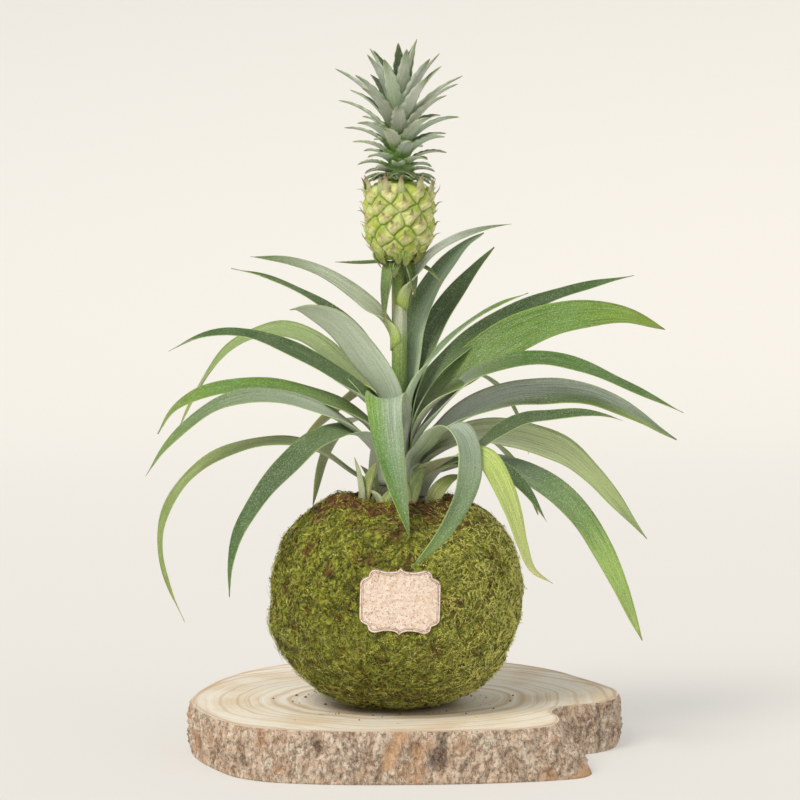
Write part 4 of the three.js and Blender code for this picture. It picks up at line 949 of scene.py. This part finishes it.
def moss_base():
    """The moss mat: a lumpy bowl with a ragged open top, pressed flat behind the label."""
    steps, levels = 260, 110
    reach, power = ball_half(True)
    rim = BALL["centre"] + reach * (1 - (MOUTH / BALL["radius"]) ** power) ** (1 / power)
    low = SLICE_TOP + GAP
    heights = [low + (rim - low) * k / levels for k in range(1, levels)]
    profile = [(0.01, low), (ball_radius(low + 0.5) * 0.8, low)] + [(ball_radius(z), z) for z in heights]
    profile += [(MOUTH + 3, rim + 0.4), (MOUTH, rim - 0.5), (MOUTH - 1, rim - 4), (MOUTH - 0.5, rim - 12)]
    points, patch = [], []
    for r, z in profile:
        near = min((z - low) / 6, 1)
        for i in range(steps):
            turn = 2 * pi * i / steps
            out = 0.0
            if low + 1 < z:
                place = Vector((r * cos(turn), r * sin(turn), z)) * 0.06
                clump = noise.noise(place * 1.1) * 3.2 + noise.noise(place * 2.4) * 1.6
                out = (lump(turn, z) * near if z < rim - 1 else 0) + (rough(place * 4) * 1.1 + clump) * near
            x, y = (r + out) * cos(turn), (r + out) * sin(turn)
            press = label_cover(x, z) if y < 0 else 0
            y = y + (max(y, label_plane(z) + 2.9) - y) * press
            heap = 6 * exp(-((x + 38) ** 2 + (y + 26) ** 2) / 300) * smoothstep(rim - 26, rim - 8, z)
            ragged = noise.noise(Vector((x, y, 7)) * 0.12) * 1.6 if z > rim - 1 else 0
            points.append((x, y, z + heap + ragged))
            patch.append(rough(Vector((x, y, z)) * 0.035))
    points, patch = np.array(points), np.array(patch)
    x, y, z = points.T
    covered = np.array([label_cover(x, z, -1.5) if y < 0 else 0 for x, y, z in points])
    ragged = np.array([rough(Vector(p) * 0.09) for p in points.tolist()])
    spots = np.array([rough(Vector(p) * 0.075 + Vector((9, 2, 5))) for p in points.tolist()])
    # Where each kind of strand grows, from 0 to about 1; the extra light strands on the right are painted
    # light, and the extra dark strands low down are painted shade
    open_air = (z > SLICE_TOP + 1.5) * (covered < 0.5)
    coir = smoothstep(179, 187, z + 20 * ragged - 5 * smoothstep(30, 60, np.abs(x - 8)))
    # The first mask brightens the ball's right side as painted light; the second darkens its lower part as
    # painted shade
    right, painted_low_shade = smoothstep(-10, 70, x) * smoothstep(175, 150, z), smoothstep(90, 44, z) * 0.4
    spots = smoothstep(0.06, 0.26, spots) * (1.1 - 0.5 * smoothstep(-30, 60, x))
    brown = (spots + smoothstep(0.2, 0.4, patch) * 0.3 + coir + 0.04) * open_air
    dark = (smoothstep(0.05, -0.25, patch) * 0.5 + 0.3 + painted_low_shade) * (1 - 0.65 * right) * open_air
    green = (1 - 0.7 * coir) * open_air
    light = (1 - 0.7 * smoothstep(0.1, 0.3, patch)) * (0.75 + 1.0 * right) * (1 - painted_low_shade)
    light = light * (1 - 0.6 * np.clip(spots, 0, 1))
    pale = smoothstep(40, -20, x) * smoothstep(125, 95, z) + 0.12
    made = add("moss_mat", points, closed_faces(len(profile), steps), [moss_mat()], light=light * green,
               dark=dark * (1 - 0.5 * coir), brown=brown, middle=green, pale=pale * open_air,
               coir=coir * 0.9)
    return settle(made, "moss", "moss_cover")


def bent_strand(name, length, bend, twist, width, stations=3):
    """A thin three-sided strand that lies along X and curves, to be scattered."""
    s = np.linspace(-0.5, 0.5, stations)
    x, y = s * length, bend * length * (0.25 - s * s) + twist * length * s**3
    z = 0.14 * length * (0.25 - s * s) * 2
    thick = width / 2 * np.clip(1.15 - (2 * np.abs(s)) ** 3, 0.2, 1)
    points = [(x[k], y[k] + thick[k] * cos(a * pi), z[k] + thick[k] * sin(a * pi))
              for k in range(stations) for a in (0.5, 7 / 6, 11 / 6)]
    return add(name, points, closed_faces(stations, 3, True))


def sprig(name, length, bend, pairs=3):
    """A sprig of moss to be scattered: a thin stem with leaflets on both sides, each a closed spike."""
    points, faces = [], []
    spike_faces = ((0, 1, 2), (0, 3, 1), (1, 3, 2), (2, 3, 0))

    def spike(foot, way, size, width):
        across = np.cross((0, 0, 1), way)
        across *= width / 2 / np.linalg.norm(across)
        first = len(points)
        points.extend([foot - across, foot + across, foot + (0, 0, width), foot + np.asarray(way) * size])
        faces.extend([tuple(first + n for n in face) for face in spike_faces])

    for k in range(pairs + 1):
        share = k / pairs
        foot = np.array([(share - 0.5) * length, bend * length * (0.25 - (share - 0.5) ** 2), 0.4 * share])
        for side in (-1, 1):
            turn = radians(46 - 26 * share) * side + bend * (0.5 - share)
            spike(foot, (cos(turn), sin(turn), 0.3 - 0.2 * (k % 2)), length * (0.42 - 0.14 * share), 0.5)
    spike(np.array([-length / 2, 0, -0.1]), (1, bend * 0.5, 0.06), length, 0.3)
    return add(name, points, faces)


def crumb(name, draw):
    corners = np.array([(1, 0, 0), (0, 1, 0), (-1, 0, 0), (0, -1, 0), (0, 0, 0.7), (0, 0, -0.7)], float)
    corners *= draw.uniform(0.6, 1.2, corners.shape)
    faces = [(0, 1, 4), (1, 2, 4), (2, 3, 4), (3, 0, 4), (1, 0, 5), (2, 1, 5), (3, 2, 5), (0, 3, 5)]
    return add(name, corners * 0.9, faces, flat=[True] * 8)


def shapes(name, make, sizes, *more):
    """A collection of small shapes to scatter, one for each row of sizes, kept out of the scene."""
    kinds = bpy.data.collections.new(name)
    for n, size in enumerate(sizes):
        made = make(f"{name}_{n}", *size, *more)
        kinds.objects.link(made)
        bpy.context.scene.collection.objects.unlink(made)
    return kinds


def scatter_tree():
    """Geometry Nodes: small shapes spread over a surface where a mask allows, each lying at a lean."""
    tree = bpy.data.node_groups.new("scatter", "GeometryNodeTree")
    for kind, names in (("Geometry", "Surface"), ("Collection", "Shapes"), ("String", "Mask"),
                        ("Float", "Density Lowest Highest Smallest Largest Lift"), ("Int", "Seed"),
                        ("Material", "Material")):
        for name in names.split():
            tree.interface.new_socket(name, in_out="INPUT", socket_type="NodeSocket" + kind)
    tree.interface.new_socket("Geometry", in_out="OUTPUT", socket_type="NodeSocketGeometry")
    nodes, links = tree.nodes, tree.links
    given = nodes.new("NodeGroupInput").outputs

    def put(kind, settings=None, out=0, **inputs):
        """A node, its settings, and its inputs by name or, written as i and a number, by place."""
        made = nodes.new(kind)
        for key, setting in (settings or {}).items():
            setattr(made, key, setting)
        for name, value in inputs.items():
            socket = made.inputs[int(name[1:]) if name[1:].isdigit() else name.replace("_", " ")]
            if isinstance(value, bpy.types.NodeSocket):
                links.new(value, socket)
            else:
                socket.default_value = value
        return made.outputs[out]

    def chance(low, high, step):
        seed = put("ShaderNodeMath", {"operation": "ADD"}, i0=given["Seed"], i1=float(step))
        return put("FunctionNodeRandomValue", {"data_type": "FLOAT"}, 1, Seed=seed, i2=low, i3=high)

    def turned(rotation, axis, angle):
        return put("FunctionNodeRotateRotation", {"rotation_space": "LOCAL"}, i0=rotation,
                   i1=put("ShaderNodeCombineXYZ", **{axis: angle}))

    mask = put("GeometryNodeInputNamedAttribute", {"data_type": "FLOAT"}, Name=given["Mask"])
    amount = put("ShaderNodeMath", {"operation": "MULTIPLY"}, i0=mask, i1=given["Density"])
    points = put("GeometryNodeDistributePointsOnFaces", Mesh=given["Surface"], Density=amount,
                 Seed=given["Seed"])
    spread = points.node.outputs
    rotation = turned(spread["Rotation"], "Z", chance(0.0, 2 * pi, 1))
    rotation = turned(rotation, "Y", chance(given["Lowest"], given["Highest"], 2))
    rotation = turned(rotation, "X", chance(-0.5, 0.5, 3))
    lift = put("ShaderNodeVectorMath", {"operation": "SCALE"}, i0=spread["Normal"], Scale=given["Lift"])
    raised = put("GeometryNodeSetPosition", Geometry=points, Offset=lift)
    kinds = put("GeometryNodeCollectionInfo", Collection=given["Shapes"], Separate_Children=True,
                Reset_Children=True)
    placed = put("GeometryNodeInstanceOnPoints", Points=raised, Instance=kinds, Pick_Instance=True,
                 Rotation=rotation, Scale=chance(given["Smallest"], given["Largest"], 4))
    real = put("GeometryNodeRealizeInstances", Geometry=placed)
    dressed = put("GeometryNodeSetMaterial", Geometry=real, Material=given["Material"])
    links.new(dressed, nodes.new("NodeGroupOutput").inputs[0])
    return tree


SCATTER = scatter_tree()
MASKS = ("light", "dark", "brown", "middle", "pale", "coir", "top")


def scatter(name, surface, kinds, mask, density, seed, lean, sizes, lift, tone, slot):
    """Spreads shapes over a surface and keeps the result as one plain mesh. density is per square metre."""
    holder = link(name + "_holder", surface.data)
    spread = holder.modifiers.new("scatter", "NODES")
    spread.node_group = SCATTER
    values = {"Shapes": kinds, "Mask": mask, "Density": density, "Seed": seed, "Lowest": lean[0],
              "Highest": lean[1], "Smallest": sizes[0], "Largest": sizes[1], "Lift": lift * MM,
              "Material": STRAND_TONES[tone]}
    for socket in SCATTER.interface.items_tree:
        if socket.in_out == "INPUT" and socket.name in values:
            spread[socket.identifier] = values[socket.name]
    view = bpy.context.view_layer
    view.update()
    mesh = bpy.data.meshes.new_from_object(holder.evaluated_get(view.depsgraph))
    mesh.name = name
    for leftover in [a.name for a in mesh.attributes if a.name in MASKS]:
        mesh.attributes.remove(mesh.attributes[leftover])
    bpy.data.objects.remove(holder)
    mesh.polygons.foreach_set("use_smooth", [True] * len(mesh.polygons))
    settle(link(name, mesh), slot)


def moss_ball():
    """The moss mat and all that grows on it."""
    mat = moss_base()
    sprigs = shapes("moss_sprig", sprig, [(4.4, 0.3), (5.2, -0.4), (3.6, 0.6), (4.8, 0.1)])
    fine = shapes("moss_strand", bent_strand, [(3.6, 0.3, 0.4), (4.6, -0.5, 0.3), (2.8, 0.7, -0.4),
                                               (5.4, 0.2, 0.5)], 0.4)
    wide = shapes("moss_blade", bent_strand, [(3.4, 0.5, 0.3), (4.4, -0.4, -0.3), (2.6, 0.2, 0.6)], 0.7)
    long = shapes("long_strand", bent_strand, [(17, 0.03, 0.1), (22, -0.05, 0.1), (12, 0.06, 0.0)], 0.22, 5)
    for name, kinds, density, seed, lean, sizes, lift in (
            ("dark", wide, 100000, 5, (-0.5, 0.4), (0.7, 1.3), 0.1),
            ("middle", fine, 50000, 7, (-0.8, 0.5), (0.6, 1.3), 0.9),
            ("middle_sprigs", sprigs, 42000, 14, (-0.7, 0.2), (0.6, 1.3), 0.4),
            ("light", fine, 40000, 6, (-0.9, 0.4), (0.5, 1.2), 1.2),
            ("light_sprigs", sprigs, 40000, 13, (-0.8, 0.1), (0.5, 1.15), 0.9),
            ("brown", wide, 95000, 6, (-0.8, 0.4), (0.6, 1.4), 0.8),
            ("pale", long, 40000, 5, (-0.08, 0.08), (0.7, 1.1), 1.4)):
        tone = name.split("_")[0]
        scatter("moss_strands_" + name, mat, kinds, tone, density, seed, lean, sizes, lift, tone, "moss")
    return fine


def soil_top():
    """The bare peat inside the moss, a low rough mound with coir fibres on it."""
    rings, steps = 34, 120
    points = []
    for k in range(rings + 1):
        z = SOIL_CROWN + (SOIL_EDGE - SOIL_CROWN) * (k / rings) ** 2
        for i in range(steps):
            x, y = around((MOUTH - 0.6) * k / rings + 0.01, i, steps)
            points.append((x, y, z - 0.6 + rough(Vector((x, y, 3)) * 0.16, 4) * 1.6))
    points += [(x, y, SOIL_EDGE - 9) for x, y, _ in points[-steps:]]
    top = [1] * (rings + 1) * steps + [0] * steps
    peat = add("peat_top", points, closed_faces(rings + 2, steps, True), [SOIL], top=top)
    coir = shapes("coir_strand", bent_strand, [(9, 0.3, 0.4), (12, -0.4, 0.2), (6, 0.7, -0.3)], 0.45, 4)
    settle(peat, "soil", "soil_core")
    scatter("coir_fibres", peat, coir, "top", 260000, 8, (-0.6, 0.5), (0.5, 1.2), 1.0, "brown", "soil")


def fine_thread():
    """The binding: thin threads wound round the moss at many tilts."""
    draw = np.random.default_rng(21)
    loops = [(38, 0), (46, 1.93), (41, 3.86), (50, 5.79)]
    loops += [(draw.uniform(30, 62), draw.uniform(0, 2 * pi)) for _ in range(14)]
    steps, sides, thick = 170, 4, 0.24
    a = np.arange(steps) * 2 * pi / steps
    t = np.arange(sides) * 2 * pi / sides
    points, faces = [], []
    for n, (tilt, spin) in enumerate(loops):
        flat = np.stack([np.cos(a), np.sin(a) * cos(radians(tilt)), np.sin(a) * sin(radians(tilt))], -1)
        turned = np.stack([flat[:, 0] * cos(spin) - flat[:, 1] * sin(spin),
                           flat[:, 0] * sin(spin) + flat[:, 1] * cos(spin), flat[:, 2]], -1)
        path = []
        for d in turned:
            reach, power = ball_half(d[2] > 0)
            level = hypot(d[0], d[1]) / BALL["radius"]
            size = (level ** power + abs(d[2] / reach) ** power) ** (-1 / power)
            z = BALL["centre"] + d[2] * size
            path.append(np.array([0, 0, BALL["centre"]]) + d * (size + lump(atan2(d[1], d[0]), z) + 1.6))
        path = np.array(path)
        other = np.cross(unit(np.roll(path, -1, 0) - np.roll(path, 1, 0)), turned)
        rings = turned[:, None] * np.cos(t)[None, :, None] + other[:, None] * np.sin(t)[None, :, None]
        points.append((path[:, None] + rings * thick).reshape(-1, 3))
        first = n * steps * sides
        for k in range(steps):
            faces += ring_faces(first + k * sides, first + (k + 1) % steps * sides, sides)
    points = np.vstack(points)
    points[:, 1] += [4 * label_cover(x, z, 1.0) if y < 0 else 0 for x, y, z in points]
    settle(add("thread_windings", points, faces, [THREAD]), "thread", "binding_thread")


def label_loop(inset):
    """The label's outline moved inwards, from its top peak round by the right."""
    start, quarter = np.array([0.0, 1.0]), []
    for bend, end in (((0.06, 0.9), (0.16, 0.88)), ((0.36, 0.85), (0.5, 0.91)), ((0.72, 0.98), (0.78, 0.8)),
                      ((0.8, 0.74), (0.79, 0.71)), ((0.99, 0.66), (1, 0.48))):
        for t in np.linspace(0, 1, 10, endpoint=False):
            quarter.append((1 - t) ** 2 * start + 2 * t * (1 - t) * np.array(bend) + t * t * np.array(end))
        start = np.array(end, float)
    quarter = np.array(quarter + [start])

    def all_round(part):
        right = np.vstack([part, part[::-1] * (1, -1)])
        return np.vstack([right, part[1:] * (-1, -1), part[::-1][:-1] * (-1, 1)])

    loop = all_round(quarter) * (LABEL["width"] / 2, LABEL["height"] / 2)
    ahead = np.roll(loop, -1, 0) - np.roll(loop, 1, 0)
    inward = unit(np.stack([ahead[:, 1], -ahead[:, 0]], -1))
    for _ in range(3):
        inward = (np.roll(inward, 1, 0) + inward * 2 + np.roll(inward, -1, 0)) / 4
    moved = (loop + inward * inset)[:len(quarter)]
    moved[:, 0] = np.maximum(moved[:, 0], 0.012 * np.arange(len(moved)))
    return all_round(moved)


def label_place(flat, deep):
    """Label points from its own plane into the room: leaned, tilted back and set into the moss."""
    lean, tilt = radians(-LABEL["lean"]), radians(LABEL["tilt"])
    x = LABEL["x"] + flat[:, 0] * cos(lean) - flat[:, 1] * sin(lean)
    up = flat[:, 0] * sin(lean) + flat[:, 1] * cos(lean)
    return np.stack([x, LABEL["front"] + up * sin(tilt) + deep * cos(tilt),
                     LABEL["centre"] + up * cos(tilt) - deep * sin(tilt)], -1)


def cork_label():
    """The blank label: a rounded cork plate with a double border line inlaid in its face."""
    rings = [(0.5, LABEL["thick"]), (0.0, 2.2), (0.0, 0.45), (0.3, 0.08), (0.55, 0.0), (1.5, 0.0),
             (1.85, 0.0), (2.5, 0.0), (2.75, 0.0)]
    dark_rings = (2, 5, 7)
    loops = [label_place(label_loop(inset), deep) for inset, deep in rings]
    sides, walls = len(loops[0]), len(rings) - 1
    faces = wall_faces(len(rings), sides, True)
    last, half = walls * sides, sides // 4 + 1
    for i in range(half - 1):
        right = (i, 2 * half - 1 - i, 2 * half - 2 - i, i + 1)
        left = (sides - 1 - i, 2 * half + i, 2 * half - 1 + i, (sides - i) % sides)
        faces += [tuple(last + k for k in right), tuple(last + k for k in left)]
    faces.append(tuple(range(sides)))
    kinds = [int(n < last and n // sides in dark_rings) for n in range(len(faces))]
    made = add("blank_cork_label", np.vstack(loops), faces, [cork_face(), INK], kinds, [True] * len(faces))
    settle(made, "cork", "cork_label")


def wood_slice():
    """The slice: pale end grain above and below, and a deep-cracked bark side with a bare stripe."""
    steps, levels, per_step = 860, 36, 20
    rows = np.array([(*p, 0)[:3] for p in SLICE_OUTLINE], float)
    ring = curve_points(np.vstack([rows[-2:], rows, rows[:3]]), per_step)
    ring = ring[2 * per_step:][:per_step * len(rows)]
    outline, along, _ = evenly(np.vstack([ring, ring[:1]]), steps + 1)
    outline, along = outline[:-1], along[:-1]
    out_of_it = unit(np.stack([along[:, 1], -along[:, 0]], -1))
    points, bare, crack = [], [], []
    for k in range(levels + 1):
        up = k / levels
        z = up * SLICE_TOP
        for (x, y, spread), way in zip(outline, out_of_it):
            plates = noise.ridged_multi_fractal(Vector((x, y, z * 0.5)) * 0.075, 0.9, 2.1, 5, 1.0, 2.0)
            fine = rough(Vector((x, y, z * 0.7)) * 0.34, 4)
            stripe = exp(-(((x + 3 - (z - 22) * 0.42) / 4.4) ** 2)) * smoothstep(8, 14, z) if y < 0 else 0
            broken = smoothstep(0.75, 1.05, spread / 24 * (1.25 - up * 1.7))
            skin = 1 - max(stripe, broken * 0.8)
            swell = sin(pi * up) ** 0.5 if 0 < k < levels else 0
            out = swell * (1.0 + (plates - 1.0) * 2.8 * skin + fine * 2.2 * skin - stripe * 1.6)
            out = max(min(out, 4.4), -3.4)
            points.append((x + way[0] * out + spread * (1 - up), y + way[1] * out, z))
            bare.append(max(stripe, broken))
            crack.append(float(np.clip((0.62 - plates) * 2.2, 0, 0.85)) * skin * (swell > 0))
    rim = [0.0] * len(points)
    centre = np.array([6, 34])
    insets = [0.012, 0.03, 0.05, 0.1, 0.2, 0.35, 0.55, 0.8, 0.96]
    for z, top in ((SLICE_TOP, True), (0.0, False)):
        for inset in insets:
            for x, y, spread in outline:
                edge = np.array([x + (0 if top else spread), y])
                points.append((*(edge + (centre - edge) * inset), z))
                rim.append(float(np.clip(1 - inset / 0.035, 0, 1)) * 0.9)
    ends = [0.0] * (len(points) - len(bare))
    above, below = (levels + 1) * steps, (levels + 1 + len(insets)) * steps
    faces = wall_faces(levels + 1, steps) + ring_faces(levels * steps, above, steps)
    faces += wall_faces(len(insets), steps, first=above) + ring_faces(below, 0, steps)
    for low in range(below, below + (len(insets) - 1) * steps, steps):
        faces += ring_faces(low + steps, low, steps)
    faces += [tuple(range(below - steps, below)), tuple(range(len(points) - steps, len(points)))[::-1]]
    rows_of_faces = np.arange(len(faces)) // steps
    points = np.array(points)
    # A painted contact shadow on the top face round the ball's foot: full within 40 mm of its middle and
    # fading beyond
    far = np.hypot(points[:, 0] + 2, points[:, 1])
    stain = 0.55 * np.exp(-np.clip(far - 40, 0, None) / 9) * (points[:, 2] > SLICE_TOP - 0.1)
    made = add("bark_edged_slice", points, faces, [wood_face(), bark_skin()], rows_of_faces < levels,
               rows_of_faces == levels, bare=bare + ends, crack=crack + ends, rim=rim, stain=stain)
    settle(made, "slice_wood", "trunk_slice")


def fallen_bits(strands):
    """Crumbs of soil and moss that lie on the slice round the ball."""
    rings, steps = 12, 60
    points, top = [], []
    for k in range(rings + 1):
        for i in range(steps):
            turn = 2 * pi * i / steps
            r = 50 + 62 * k / rings
            points.append((r * cos(turn) + 4, r * sin(turn) * 0.98 + 3, SLICE_TOP))
            top.append(max(0.05, 1 - k / rings) ** 2)
    patch = add("crumb_patch", points, wall_faces(rings + 1, steps, True), top=top)
    crumbs = shapes("crumbs", crumb, [()] * 4, np.random.default_rng(31))
    scatter("soil_crumbs", patch, crumbs, "top", 2600, 12, (-0.3, 0.3), (0.3, 1.9), 0.35, "brown", "soil")
    scatter("moss_crumbs", patch, crumbs, "top", 2200, 13, (-0.3, 0.3), (0.3, 1.8), 0.35, "middle", "moss")
    scatter("fallen_strands", patch, strands, "top", 3500, 14, (-0.05, 0.05), (0.4, 0.9), 0.3, "brown",
            "moss")
    bpy.data.objects.remove(patch)


moss_strands = moss_ball()
soil_top()
fine_thread()
cork_label()
wood_slice()
fallen_bits(moss_strands)


def studio():
    """A pale seamless floor that curves up into a wall all round, and soft light from the upper left."""
    pale = Finish("pale_floor").surface(Base_Color=rgb(170, 167, 161), Roughness=1.0,
                                        Emission_Color=rgb(238, 236, 232), Emission_Strength=0.445)
    bend = [(3400 + 1300 * sin(a), 1300 - 1300 * cos(a)) for a in np.linspace(0, pi / 2, 24)]
    profile = [(1, 0), (900, 0), (2200, 0), *bend, (4700, 2600)]
    steps = 96
    points = [(*around(r, i, steps), z - 0.2) for r, z in profile for i in range(steps)]
    faces = wall_faces(len(profile), steps) + [tuple(range(steps))]
    add("floor", points, faces, [pale])
    world = bpy.data.worlds.new("studio")
    world.use_nodes = True
    colour, strength = world.node_tree.nodes["Background"].inputs[:2]
    colour.default_value, strength.default_value = rgb(250, 250, 250), 0.5
    bpy.context.scene.world = world
    for name, towards, power, spread, tint in (("key", (0.62, 0.72, -1.0), 2.3, 26, rgb(255, 250, 240)),
                                               ("side", (-1.0, 0.75, -0.45), 0.85, 50, rgb(246, 250, 255))):
        light = bpy.data.lights.new(name, "SUN")
        light.energy, light.angle, light.color = power, radians(spread), tint[:3]
        link(name, light).rotation_euler = Vector(towards).to_track_quat("-Z", "Y").to_euler()
    bpy.context.scene.view_settings.view_transform = "Standard"


studio()
